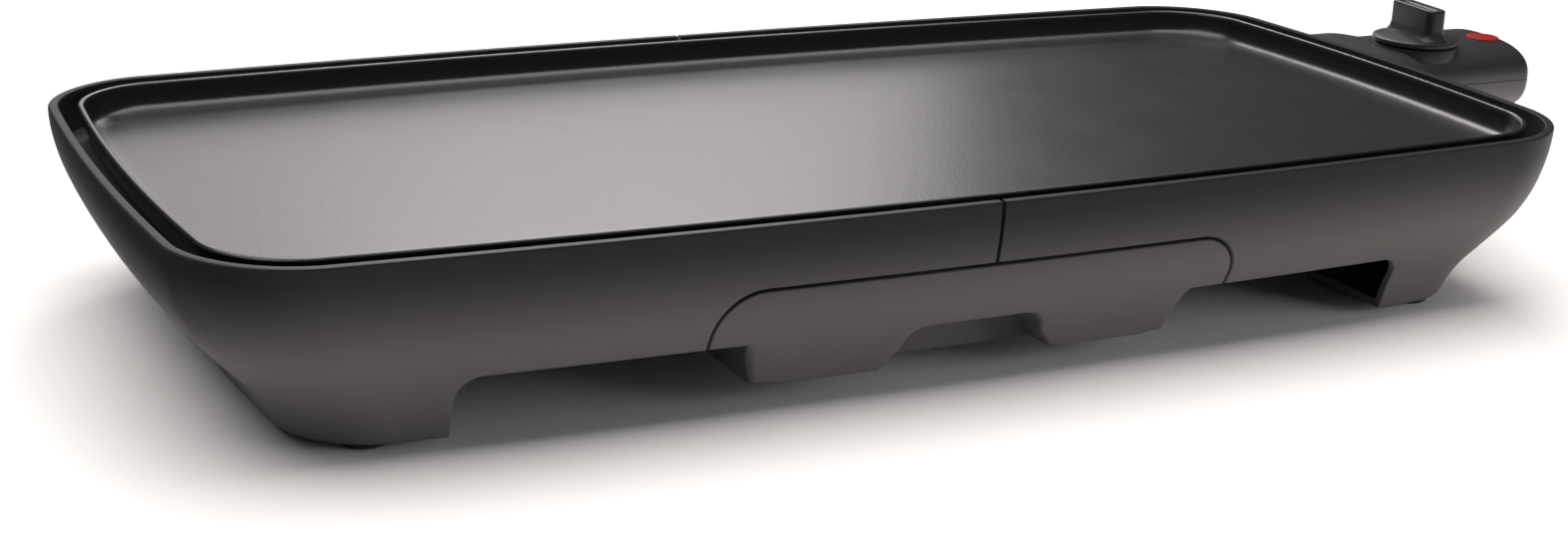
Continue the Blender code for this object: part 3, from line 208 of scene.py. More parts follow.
def lean_at(height):
    """How far the wall leans in at a height, on a smooth curve through the given leans."""
    if height <= WALL_LEANS[0][1]:
        return WALL_LEANS[0][0]
    if height >= WALL_LEANS[-1][1]:
        return 0.0
    last = len(WALL_LEANS) - 1
    index = next(i for i in range(last) if height <= WALL_LEANS[i + 1][1])
    (lean_a, low), (lean_b, high) = WALL_LEANS[index], WALL_LEANS[index + 1]

    def slope(i):
        before, after = WALL_LEANS[max(i - 1, 0)], WALL_LEANS[min(i + 1, last)]
        return (after[0] - before[0]) / (after[1] - before[1])

    span = high - low
    t = (height - low) / span
    start_weight = 2 * t ** 3 - 3 * t ** 2 + 1
    end_weight = 3 * t ** 2 - 2 * t ** 3
    start_pull = (t ** 3 - 2 * t ** 2 + t) * span * slope(index)
    end_pull = (t ** 3 - t ** 2) * span * slope(index + 1)
    return start_weight * lean_a + start_pull + end_weight * lean_b + end_pull


def plan_row(half_x, half_y, corner, height):
    """Rounded rectangle whose sides bow outwards, as a row of points at one height."""
    straight_x = half_x - END_BOW
    straight_y = half_y - SIDE_BOW
    flat_x = straight_x - corner
    flat_y = straight_y - corner
    points = []
    sides = (((1, 1), SIDE_STEPS), ((-1, 1), END_STEPS), ((-1, -1), SIDE_STEPS), ((1, -1), END_STEPS))
    for quarter, (sign, steps) in enumerate(sides):
        centre = (sign[0] * flat_x, sign[1] * flat_y)
        for i in range(CORNER_STEPS):
            turn = math.pi / 2 * (quarter + i / CORNER_STEPS)
            points.append((centre[0] + corner * math.cos(turn), centre[1] + corner * math.sin(turn)))
        turn = math.pi / 2 * (quarter + 1)
        start = (centre[0] + corner * math.cos(turn), centre[1] + corner * math.sin(turn))
        along_x = quarter % 2 == 0
        for i in range(steps):
            share = 1 - 2 * i / steps
            points.append((start[0] * share, start[1]) if along_x else (start[0], start[1] * share))
    bowed = []
    for x, y in points:
        out_x = 1 + END_BOW / straight_x * (1 - (y / straight_y) ** 2)
        out_y = 1 + SIDE_BOW / straight_y * (1 - (x / straight_x) ** 2)
        bowed.append((x * out_x, y * out_y, height))
    return bowed


def wall_row(inward, height, thickness=0.0):
    return plan_row(HALF_LENGTH - inward - thickness, HALF_WIDTH - SIDE_SLOPE * inward - thickness,
                    RIM_CORNER - CORNER_SHRINK * inward - thickness, height)


def wall_face(x, height):
    """Distance of the front or back wall's outer face from the long middle line."""
    lean = lean_at(height)
    straight_x = HALF_LENGTH - lean - END_BOW
    straight_y = HALF_WIDTH - SIDE_SLOPE * lean - SIDE_BOW
    return straight_y + SIDE_BOW * (1 - (x / straight_x) ** 2)


def shape_from(name, bm):
    """Mesh object from a bmesh, with its faces turned outwards."""
    bmesh.ops.recalc_face_normals(bm, faces=bm.faces[:])
    mesh = bpy.data.meshes.new(name)
    bm.to_mesh(mesh)
    bm.free()
    shape = bpy.data.objects.new(name, mesh)
    scene.collection.objects.link(shape)
    return shape


def skin(name, rows, closed=False):
    """Mesh object through rows of points, with both ends capped unless it closes on itself."""
    bm = bmesh.new()
    made = [[bm.verts.new(point) for point in row] for row in rows]
    count = len(rows[0])
    pairs = list(zip(made, made[1:]))
    if closed:
        pairs.append((made[-1], made[0]))
    for lower, upper in pairs:
        for i in range(count):
            j = (i + 1) % count
            bm.faces.new((lower[i], lower[j], upper[j], upper[i]))
    if not closed:
        bm.faces.new(list(reversed(made[0])))
        bm.faces.new(made[-1])
    return shape_from(name, bm)


def slab(name, low, high):
    corners = [(low[0], low[1]), (high[0], low[1]), (high[0], high[1]), (low[0], high[1])]
    return skin(name, [[(x, y, z) for x, y in corners] for z in (low[2], high[2])])


def shape_with(target, operation, *others):
    """Runs Booleans on a shape one after another, keeps the result and drops the other shapes."""
    for other in others:
        step = target.modifiers.new(operation.lower(), "BOOLEAN")
        step.operation = operation
        step.object = other
        step.solver = "EXACT"
    ready = target.evaluated_get(bpy.context.evaluated_depsgraph_get())
    mesh = bpy.data.meshes.new_from_object(ready)
    target.modifiers.clear()
    old = target.data
    target.data = mesh
    bpy.data.meshes.remove(old)
    for other in others:
        bpy.data.objects.remove(other, do_unlink=True)
    return target


def to_frame(piece, finish, body, sharp=30.0):
    """Moves a shape from millimetres about the base to the frame, and gives it its finish and body."""
    piece.data.transform(Matrix.Translation((MIDDLE_X, 0.0, 0.0)) @ Matrix.Scale(MM, 4))
    piece.data.materials.clear()
    piece.data.materials.append(finish)
    piece.data.shade_smooth()
    piece.data.set_sharp_from_angle(angle=math.radians(sharp))
    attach(piece, body)
    return piece


def with_points(outline, step):
    """The same closed outline with extra points, so that no side is longer than step."""
    dense = []
    for (u, v), (next_u, next_v) in zip(outline, outline[1:] + outline[:1]):
        parts = max(1, math.ceil(math.hypot(next_u - u, next_v - v) / step))
        for i in range(parts):
            dense.append((u + (next_u - u) * i / parts, v + (next_v - v) * i / parts))
    return dense


def grown(outline, amount):
    """An anticlockwise outline moved outwards by an amount, which may differ from point to point."""
    moved = []
    count = len(outline)
    for i, (u, v) in enumerate(outline):
        before = Vector((u - outline[i - 1][0], v - outline[i - 1][1])).normalized()
        after = Vector((outline[(i + 1) % count][0] - u, outline[(i + 1) % count][1] - v)).normalized()
        first, second = Vector((before.y, -before.x)), Vector((after.y, -after.x))
        out = (first + second).normalized()
        reach = amount[i] if isinstance(amount, list) else amount
        reach /= max(0.4, out.dot(first))
        moved.append((u + out.x * reach, v + out.y * reach))
    return moved


def against_wall(outline, sign, depth):
    """An outline laid against the front or back wall, at one depth or a list of them under its face."""
    depths = depth if isinstance(depth, list) else [depth] * len(outline)
    return [(u, sign * (wall_face(u, v) - under), v) for (u, v), under in zip(outline, depths)]


def wall_opening(name, outline, sign, ease, back):
    """Cutter for an opening in the front or back wall whose outer edge is eased all round."""
    rows = [against_wall(grown(outline, ease), sign, -6.0)]
    for i in range(5):
        turn = math.pi / 2 * i / 4
        rows.append(against_wall(grown(outline, ease * (1 - math.sin(turn)) + 0.0001), sign,
                                 ease * (1 - math.cos(turn))))
    rows.append([(u, back, v) for u, v in outline])
    return skin(name, rows)


def arc(centre, radius, start, end, steps):
    """Points on an arc between two angles in degrees."""
    points = []
    for i in range(steps + 1):
        turn = math.radians(start + (end - start) * i / steps)
        points.append((centre[0] + radius * math.cos(turn), centre[1] + radius * math.sin(turn)))
    return points


def housing_shell(name):
    heights = [FOOT_BOTTOM + 0.4] + [ROW_START + ROW_STEP * i for i in range(35)]
    outer = [wall_row(lean_at(FOOT_BOTTOM) + 0.5, FOOT_BOTTOM)] + [wall_row(lean_at(z), z) for z in heights]
    rim_height = BASE_HEIGHT - RIM_ROUND
    rim = [wall_row(RIM_ROUND - u, rim_height + v) for u, v in arc((0, 0), RIM_ROUND, 0, 90, 5)]
    inner_edge = BASE_WALL + RIM_ROUND * 0.3
    lip = [wall_row(0.0, BASE_HEIGHT, inner_edge - 0.1), wall_row(0.0, BASE_HEIGHT - 0.35, inner_edge + 0.25)]
    ledge = [wall_row(lean_at(LEDGE_TOP), LEDGE_TOP, BASE_WALL), wall_row(0.0, LEDGE_TOP, LEDGE_REACH),
             wall_row(0.0, LEDGE_TOP - LEDGE_THICK, LEDGE_REACH),
             wall_row(lean_at(LEDGE_TOP - LEDGE_THICK), LEDGE_TOP - LEDGE_THICK, BASE_WALL)]
    inside = [wall_row(lean_at(z), z, BASE_WALL) for z in (50, 45, 40, 35, 30, 25, 20, 15, 10, 6)]
    inside.append(wall_row(lean_at(FOOT_BOTTOM), FOOT_BOTTOM, BASE_WALL))
    return skin(name, outer + rim + lip + ledge + inside, closed=True)


def wall_block(name, thickness, low, high, steps=24):
    """Solid block with the housing's outer shape, less a thickness, between two heights."""
    heights = [low + (high - low) * i / steps for i in range(steps + 1)]
    return skin(name, [wall_row(lean_at(z), z, thickness) for z in heights])


def noise_height(tree, scale, detail):
    """Noise laid on the object in metres, whose features are about one over scale."""
    place = tree.nodes.new("ShaderNodeTexCoord")
    noise = tree.nodes.new("ShaderNodeTexNoise")
    noise.inputs["Scale"].default_value = scale
    noise.inputs["Detail"].default_value = detail
    tree.links.new(place.outputs["Object"], noise.inputs["Vector"])
    return noise.outputs["Fac"]


def new_group(name, inputs, outputs):
    group = bpy.data.node_groups.new(name, "ShaderNodeTree")
    for label, kind, value in inputs:
        made = group.interface.new_socket(name=label, in_out="INPUT", socket_type=kind)
        made.default_value = value
    for label, kind in outputs:
        group.interface.new_socket(name=label, in_out="OUTPUT", socket_type=kind)
    return group, group.nodes.new("NodeGroupInput"), group.nodes.new("NodeGroupOutput")


def math_step(tree, operation, first, second):
    step = tree.nodes.new("ShaderNodeMath")
    step.operation = operation
    for socket, value in zip(step.inputs, (first, second)):
        if isinstance(value, (int, float)):
            socket.default_value = value
        else:
            tree.links.new(value, socket)
    return step.outputs[0]


def texture_group(name, fine, broad, shade_from):
    """Bump height from a fine noise, a roughness that swings with a broad one, and a shade to mix by."""
    group, given, result = new_group(
        name,
        [("Roughness", "NodeSocketFloat", 0.4), ("Spread", "NodeSocketFloat", 0.1)],
        [("Height", "NodeSocketFloat"), ("Roughness", "NodeSocketFloat"), ("Shade", "NodeSocketFloat")])
    noises = {"fine": noise_height(group, *fine), "broad": noise_height(group, *broad)}
    off_middle = math_step(group, "SUBTRACT", noises["broad"], 0.5)
    swing = math_step(group, "MULTIPLY", off_middle, given.outputs["Spread"])
    roughness = math_step(group, "ADD", swing, given.outputs["Roughness"])
    group.links.new(noises["fine"], result.inputs["Height"])
    group.links.new(roughness, result.inputs["Roughness"])
    group.links.new(noises[shade_from], result.inputs["Shade"])
    return group


# Fine spark-eroded grain of moulded plastic: tiny even bumps, with slight polish where it is smoother.
moulded_grain = texture_group("moulded_grain", (1600.0, 2.0), (14.0, 3.0), "fine")

# Where a surface lies between a low and a high level, from 0 to 1, with a soft change between them. It places
# painted floor bounce light, which lightens a colour below the low level.
painted_bounce_share, share_in, share_out = new_group(
    "painted_bounce_share",
    [("Low", "NodeSocketFloat", 0.0), ("High", "NodeSocketFloat", 1.0)],
    [("Share", "NodeSocketFloat")])
share_place = painted_bounce_share.nodes.new("ShaderNodeTexCoord")
share_split = painted_bounce_share.nodes.new("ShaderNodeSeparateXYZ")
share_range = painted_bounce_share.nodes.new("ShaderNodeMapRange")
share_range.interpolation_type = "SMOOTHSTEP"
painted_bounce_share.links.new(share_place.outputs["Object"], share_split.inputs[0])
painted_bounce_share.links.new(share_split.outputs["Z"], share_range.inputs["Value"])
painted_bounce_share.links.new(share_in.outputs["Low"], share_range.inputs["From Min"])
painted_bounce_share.links.new(share_in.outputs["High"], share_range.inputs["From Max"])
painted_bounce_share.links.new(share_range.outputs["Result"], share_out.inputs["Share"])


def use_group(tree, group, **values):
    node = tree.nodes.new("ShaderNodeGroup")
    node.node_tree = group
    for label, value in values.items():
        node.inputs[label].default_value = value
    return node


def new_finish(name, roughness, **sockets):
    """A material with a Principled shader and its even values, and the parts needed to wire it."""
    finish = bpy.data.materials.new(name)
    finish.use_nodes = True
    shader = finish.node_tree.nodes["Principled BSDF"]
    shader.inputs["Roughness"].default_value = roughness
    for label, value in sockets.items():
        shader.inputs[label.replace("_", " ")].default_value = value
    return finish, finish.node_tree, shader


def mixed_colour(tree, share, first, second):
    mix = tree.nodes.new("ShaderNodeMix")
    mix.data_type = "RGBA"
    mix.inputs["A"].default_value = (*first, 1.0)
    mix.inputs["B"].default_value = (*second, 1.0)
    tree.links.new(share, mix.inputs["Factor"])
    return mix.outputs["Result"]


def bump_from(tree, shader, height, strength, distance):
    bump = tree.nodes.new("ShaderNodeBump")
    bump.inputs["Strength"].default_value = strength
    bump.inputs["Distance"].default_value = distance
    tree.links.new(height, bump.inputs["Height"])
    tree.links.new(bump.outputs["Normal"], shader.inputs["Normal"])


def plastic_finish(name, colour, low_painted_light_colour, roughness, spread, strength, levels, specular=0.5):
    """Grained plastic whose colour shifts a little between two levels, lighter below the lower one: painted
    floor bounce light.
    """
    finish, tree, shader = new_finish(name, roughness, Specular_IOR_Level=specular)
    grain = use_group(tree, moulded_grain, Roughness=roughness, Spread=spread)
    share = use_group(tree, painted_bounce_share, Low=levels[0], High=levels[1])
    colour_with_painted_light = mixed_colour(tree, share.outputs["Share"], low_painted_light_colour, colour)
    tree.links.new(colour_with_painted_light, shader.inputs["Base Color"])
    tree.links.new(grain.outputs["Roughness"], shader.inputs["Roughness"])
    bump_from(tree, shader, grain.outputs["Height"], strength, 0.0001)
    return finish


# The housing's colour is painted lighter below 32 mm and is its own dark grey above 70 mm: painted floor
# bounce light on the lower walls.
housing_finish = plastic_finish("housing_plastic", HOUSING_COLOUR, HOUSING_PAINTED_BOUNCE_COLOUR, 0.48, 0.08, 0.35,
                                (0.032, 0.070), 0.14)

TRAY_HALF = 106.0
TRAY_TOP = 48.5
TRAY_CORNER = 17.0
TRAY_GAP = 1.2


def round_top(half, top, corner, steps):
    """Rounded upper corners of an outline, from right to left."""
    return (arc((half - corner, top - corner), corner, 0, 90, steps)
            + arc((corner - half, top - corner), corner, 90, 180, steps))


def arch(half, top, corner, steps, spacing):
    """Outline of an opening with rounded upper corners, which runs out below the wall."""
    return with_points([(half, BELOW)] + round_top(half, top, corner, steps) + [(-half, BELOW)], spacing)


FOOT_GAP_OUTLINE = arch(FOOT_SPAN, FOOT_GAP_TOP, FOOT_GAP_CORNER, 8, 6.0)
MOUTH_OUTLINE = arch(TRAY_HALF + TRAY_GAP, TRAY_TOP + TRAY_GAP, TRAY_CORNER + TRAY_GAP, 12, 4.0)

CONTROL_Y = 54.0
CONNECTOR_Z = 50.3
GUARD_X = 238.0
WINDOW = ((27.5, 42.7), (80.5, 57.9))
PAD_RADIUS = 9.0
PAD_PLAY = 0.3
PAD_SOCKET_TOP = 3.9
PAD_SPOT = (219.0, 101.05)


def rod_shape(name, axis, radius, low, high, u, v, steps=32):
    rows = []
    for end in (low, high):
        row = []
        for i in range(steps):
            turn = 2 * math.pi * i / steps
            across, up = u + radius * math.cos(turn), v + radius * math.sin(turn)
            row.append({"X": (end, across, up), "Y": (across, end, up), "Z": (across, up, end)}[axis])
        rows.append(row)
    return skin(name, rows)


def housing_half(name, side):
    half = housing_shell(name)
    far = HALF_LENGTH + 20.0

    def across(near, away):
        return sorted((side * near, side * away))

    wall_front = -HALF_WIDTH + BEAM_SETBACK
    floor_x = across(FOOT_SPAN - 2.0, END_FLOOR_REACH)
    end_floor = wall_block(name + "_floor", 1.5, FOOT_BOTTOM + 0.1, FOOT_BOTTOM + FOOT_FLOOR, 2)
    end_floor = shape_with(end_floor, "INTERSECT", slab("crop", (floor_x[0], -END_FLOOR_HALF, 0.0),
                                                        (floor_x[1], END_FLOOR_HALF, BASE_HEIGHT)))
    beam_x = across(BEAM_X - BEAM_HALF, BEAM_X + BEAM_HALF)
    beam = shape_with(slab("beam", (beam_x[0], wall_front, BEAM_BOTTOM),
                           (beam_x[1], HALF_WIDTH - 2.0, BEAM_TOP)),
                      "INTERSECT", wall_block("trim", 1.0, FOOT_BOTTOM, BASE_HEIGHT))
    lip_x = across(LIP_INNER_X, BEAM_X)
    lip = slab("lip", (lip_x[0], wall_front + 1.0, LIP_BOTTOM), (lip_x[1], LIP_BACK_Y, LIP_TOP))
    rib_x = across(BEAM_X - RIB_HALF, BEAM_X + RIB_HALF)
    ribs = []
    for low_y, high_y in ((wall_front + 1.0, -HALF_WIDTH + 38.0), (HALF_WIDTH - 37.0, HALF_WIDTH - 8.0)):
        ribs.append(slab("rib", (rib_x[0], low_y, FOOT_GAP_TOP + 3.0),
                         (rib_x[1], high_y, LEDGE_TOP - 1.0)))
    shape_with(half, "UNION", end_floor, beam, lip, *ribs)
    cutters = [
        wall_opening("gap_front", FOOT_GAP_OUTLINE, -1, EDGE_EASE, 1.0),
        wall_opening("gap_rear", FOOT_GAP_OUTLINE, 1, EDGE_EASE, -1.0),
        wall_opening("mouth", MOUTH_OUTLINE, -1, EDGE_EASE, wall_front - 0.5),
        slab("spout_gap", (-SPOUT_GAP_HALF, -HALF_WIDTH + 5.0, LEDGE_CUT_LOW),
             (SPOUT_GAP_HALF, -HALF_WIDTH + 40.0, LEDGE_CUT_HIGH)),
        slab("other_half", (min(side * SEAM_GAP / 2, -side * far), -far, -far),
             (max(side * SEAM_GAP / 2, -side * far), far, far)),
    ]
    if side > 0:
        (low_y, low_z), (high_y, high_z) = WINDOW
        cutters.append(slab("window", (GUARD_X - 10.0, low_y, low_z), (far, high_y, high_z)))
        cutters.append(slab("shelf_gap", (GUARD_X - 12.0, low_y - 6.0, LEDGE_CUT_LOW),
                            (HALF_LENGTH - 9.0, high_y + 6.0, LEDGE_CUT_HIGH)))
    for sign in (-1, 1):
        cutters.append(rod_shape("pad_socket", "Z", PAD_RADIUS + PAD_PLAY, 0.0, PAD_SOCKET_TOP,
                                 side * PAD_SPOT[0], sign * PAD_SPOT[1]))
    shape_with(half, "DIFFERENCE", *cutters)
    if side < 0:
        depth = HALF_WIDTH - BASE_WALL - TONGUE_PLAY
        tongues = []
        for sign in (-1, 1):
            tongue_y = sorted((sign * depth, sign * (depth - TONGUE_THICK)))
            root_y = sorted((sign * (HALF_WIDTH - 2.0), sign * (HALF_WIDTH - TONGUE_ROOT_DEPTH)))
            tongues.append(slab("root", (TONGUE_START, root_y[0], TONGUE_BOTTOM),
                                (TONGUE_ROOT_END, root_y[1], TONGUE_TOP)))
            tongues.append(slab("tongue", (TONGUE_START, tongue_y[0], TONGUE_BOTTOM),
                                (TONGUE_END, tongue_y[1], TONGUE_TOP)))
        shape_with(half, "UNION", *tongues)
    return half


for half_name, side, body in (("base_left", -1, "left_base"), ("base_right", 1, "base")):
    housing = to_frame(housing_half("housing_" + half_name, side), housing_finish, body)
    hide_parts(half_name)


# ---------------------------------------------------------------- foot pads
# Four soft black rubber discs pressed into sockets under the feet, which stop the griddle sliding.
# Each has a rounded lower edge and a shallow dished face.

PAD_HEIGHT = 3.6

# The pad's colour is painted a little lighter towards its bottom edge, the same painted floor bounce light as
# on the housing.
rubber_finish = plastic_finish("pad_rubber", (0.014, 0.014, 0.014), (0.02, 0.02, 0.02), 0.8, 0.1, 0.5,
                               (0.0, 0.004))


def turned(name, profile, spot, steps=64):
    """Solid of revolution about an upright axis, from (radius, height) points between two poles."""
    bm = bmesh.new()
    rings = []
    for radius, height in profile[1:-1]:
        ring = []
        for i in range(steps):
            turn = 2 * math.pi * i / steps
            ring.append(bm.verts.new((spot[0] + radius * math.cos(turn), spot[1] + radius * math.sin(turn),
                                      height)))
        rings.append(ring)
    first = bm.verts.new((*spot, profile[0][1]))
    last = bm.verts.new((*spot, profile[-1][1]))
    for i in range(steps):
        j = (i + 1) % steps
        bm.faces.new((first, rings[0][j], rings[0][i]))
        bm.faces.new((last, rings[-1][i], rings[-1][j]))
        for lower, upper in zip(rings, rings[1:]):
            bm.faces.new((lower[i], lower[j], upper[j], upper[i]))
    return shape_from(name, bm)


for half_name, side, body in (("left", -1, "left_base"), ("right", 1, "base")):
    for end_name, sign in (("front", -1), ("rear", 1)):
        pad_profile = [(0, 0.35), (6.0, 0.35), (6.6, 0.0), (7.9, 0.0), (8.6, 0.3), (8.95, 1.0),
                       (PAD_RADIUS, 1.4), (PAD_RADIUS, PAD_HEIGHT), (0, PAD_HEIGHT)]
        pad = turned(f"pad_{half_name}_{end_name}", pad_profile, (side * PAD_SPOT[0], sign * PAD_SPOT[1]), 48)
        to_frame(pad, rubber_finish, body)
        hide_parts(f"foot_pad_{half_name}_{end_name}")


# ---------------------------------------------------------------- griddle plate
# One cast aluminium plate with a raised rim, coated all over with a pebbled black non-stick finish.
# Fat runs to a slot by the front wall, down a spout into the tray.

PLATE_MARGIN = 10.5
PLATE_BOTTOM = 57.8
PAN_DEPTH = 10.8
SURFACE = BASE_HEIGHT - PAN_DEPTH
DRAIN = (24.0, 10.0)
DRAIN_SETBACK = 30.0
CLAMP_SPOTS = ((-150.0, -66.0), (-150.0, 72.0), (150.0, -66.0), (150.0, 72.0))
SHEATH_LOW = 51.0
CLAMP_BOSS_RADIUS = 5.0
CLAMP_HOLE_RADIUS = 2.3
SPOUT_WALL = 2.5
SPOUT_DROP = 7.0
PROBE_RIB_LOW = (149.0, 50.0, 55.1)
PROBE_RIB_HIGH = (GUARD_X - 4.0, 58.0, PLATE_BOTTOM + 1.0)


def plate_row(inset, height):
    total = PLATE_MARGIN + inset
    return plan_row(HALF_LENGTH - total, HALF_WIDTH - total, max(RIM_CORNER - total, 6.0), height)


def smooth_profile(points, steps):
    """More points along a curve through the given ones."""
    dense = []
    last = len(points) - 1
    for i in range(last):
        a, b = points[max(i - 1, 0)], points[i]
        c, d = points[i + 1], points[min(i + 2, last)]
        for k in range(steps):
            t = k / steps
            dense.append(tuple(
                0.5 * (2 * q + (r - p) * t + (2 * p - 5 * q + 4 * r - s) * t * t
                       + (3 * q - p - 3 * r + s) * t ** 3)
                for p, q, r, s in zip(a, b, c, d)))
    dense.append(points[last])
    return dense


def cooking_plate():
    outside = smooth_profile([(9.0, 0.0), (5.0, 1.4), (2.6, 4.2), (1.4, 7.2), (0.0, 14.0)], 3)
    rows = [plate_row(inset, PLATE_BOTTOM + rise) for inset, rise in outside]
    rim_middle = (1.1, BASE_HEIGHT - 1.1)
    rows += [plate_row(u, v) for u, v in reversed(arc(rim_middle, 1.1, 20, 160, 8))]
    pan = smooth_profile([(2.35, 9.6), (2.9, 6.0), (4.0, 2.8), (5.2, 1.5), (7.2, 0.6), (10.0, 0.1),
                          (13.2, 0.0)], 3)
    rows += [plate_row(inset, SURFACE + rise) for inset, rise in pan + [(15.0, 0.0), (19.0, 0.0)]]
    plate = skin("cooking_plate", rows)
    spot_y = -HALF_WIDTH + DRAIN_SETBACK
    half_drain = (DRAIN[0] / 2, DRAIN[1] / 2)

    def slot_row(extra, height):
        reach = half_drain[0] - half_drain[1]
        ends = (arc((reach, spot_y), half_drain[1] + extra, -90, 90, 12)
                + arc((-reach, spot_y), half_drain[1] + extra, 90, 270, 12))
        return [(u, v, height) for u, v in ends]

    spout = skin("spout", [slot_row(SPOUT_WALL, PLATE_BOTTOM - SPOUT_DROP),
                           slot_row(SPOUT_WALL, PLATE_BOTTOM + 2.0)])
    rib = slab("rib", PROBE_RIB_LOW, PROBE_RIB_HIGH)
    bosses = [rod_shape("boss", "Z", CLAMP_BOSS_RADIUS, SHEATH_LOW, PLATE_BOTTOM + 1.0, x, y)
              for x, y in CLAMP_SPOTS]
    shape_with(plate, "UNION", spout, rib, *bosses)
    drain = skin("drain", [slot_row(0.0, 40.0), slot_row(0.0, SURFACE - 1.0), slot_row(0.3, SURFACE - 0.4),
                           slot_row(1.0, SURFACE + 0.02), slot_row(1.0, SURFACE + 20.0)])
    holes = [rod_shape("hole", "Z", CLAMP_HOLE_RADIUS, SHEATH_LOW - 1.0, PLATE_BOTTOM, x, y)
             for x, y in CLAMP_SPOTS]
    return shape_with(plate, "DIFFERENCE", drain, *holes)


def textured_finish(name, group, dark, light, roughness, spread, strength, distance=0.0001, **sockets):
    """Material whose colour, shine and bumps all come from one texture group."""
    finish, tree, shader = new_finish(name, roughness, **sockets)
    texture = use_group(tree, group, Roughness=roughness, Spread=spread)
    tree.links.new(mixed_colour(tree, texture.outputs["Shade"], dark, light), shader.inputs["Base Color"])
    tree.links.new(texture.outputs["Roughness"], shader.inputs["Roughness"])
    bump_from(tree, shader, texture.outputs["Height"], strength, distance)
    return finish


# Sprayed and baked non-stick coat: close-set pebbles about a millimetre across and a slow unevenness.
pebbled_coat = texture_group("pebbled_coat", (900.0, 3.0), (30.0, 4.0), "fine")
coating_finish = textured_finish("non_stick_coating", pebbled_coat, (0.001, 0.001, 0.001),
                                 (0.011, 0.0105, 0.010), 0.29, 0.06, 0.3, 0.0002, Specular_IOR_Level=0.5)

plate_piece = to_frame(cooking_plate(), coating_finish, "base", 20.0)
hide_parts("griddle_plate")


# ---------------------------------------------------------------- drip tray
# Moulded in the same grey plastic as the base. Its front panel carries on the base's curve, and is
# pulled by the recess in its lower edge. The bin behind it hangs by two flanges on the guide beams.

TRAY_STEP_Z = FOOT_GAP_TOP
TRAY_STEP_HALF = 91.4
TRAY_FOOT_HALF = 86.0
TRAY_BOTTOM = 8.2
TRAY_DEPTH = 118.0
BIN_HALF = 88.0
BIN_TOP = 44.0
BIN_WALL = 2.5
BIN_SIDE_WALL = 3.5
FLANGE = 5.0
FLANGE_THICK = 2.0
FLANGE_SETBACK = 17.5
PANEL_EASE = 0.7
CORNER_EASE = 2.6
PANEL_BACK = 34.0
GRIP_TOP = 25.5
GRIP_HALF = 29.0
GRIP_CORNER = 9.0
GRIP_FLARE = 7.0
GRIP_EASE = 1.2
GRIP_DEPTH = 15.0
FOOT_CORNER = [(-TRAY_FOOT_HALF - 0.8, TRAY_BOTTOM + 2.4), (-TRAY_FOOT_HALF - 0.2, TRAY_BOTTOM + 1.0),
               (-TRAY_FOOT_HALF + 1.6, TRAY_BOTTOM)]


def mirrored(points):
    """The points' mirror images across the middle, in the opposite order."""
    return [(-u, v) for u, v in reversed(points)]


def tray_panel_block():
    """The panel's front view run back into the base, with its outer edge rounded all the way round."""
    left = [(-TRAY_HALF, TRAY_STEP_Z), (-TRAY_STEP_HALF, TRAY_STEP_Z)] + FOOT_CORNER
    outline = with_points(round_top(TRAY_HALF, TRAY_TOP, TRAY_CORNER, 12) + left + mirrored(left), 4.0)
    ease = [CORNER_EASE if v < TRAY_STEP_Z - 2.0 and abs(u) > 80.0 else PANEL_EASE for u, v in outline]
    rows = [against_wall(grown(outline, [-reach for reach in ease]), -1, -6.0)]
    for i in range(6):
        turn = math.pi / 2 * i / 5
        insets = [-reach * (1 - math.sin(turn)) for reach in ease]
        depths = [reach * (1 - math.cos(turn)) for reach in ease]
        rows.append(against_wall(grown(outline, insets), -1, depths))
    rows.append([(u, -HALF_WIDTH + PANEL_BACK, v) for u, v in outline])
    return skin("tray_panel", rows)


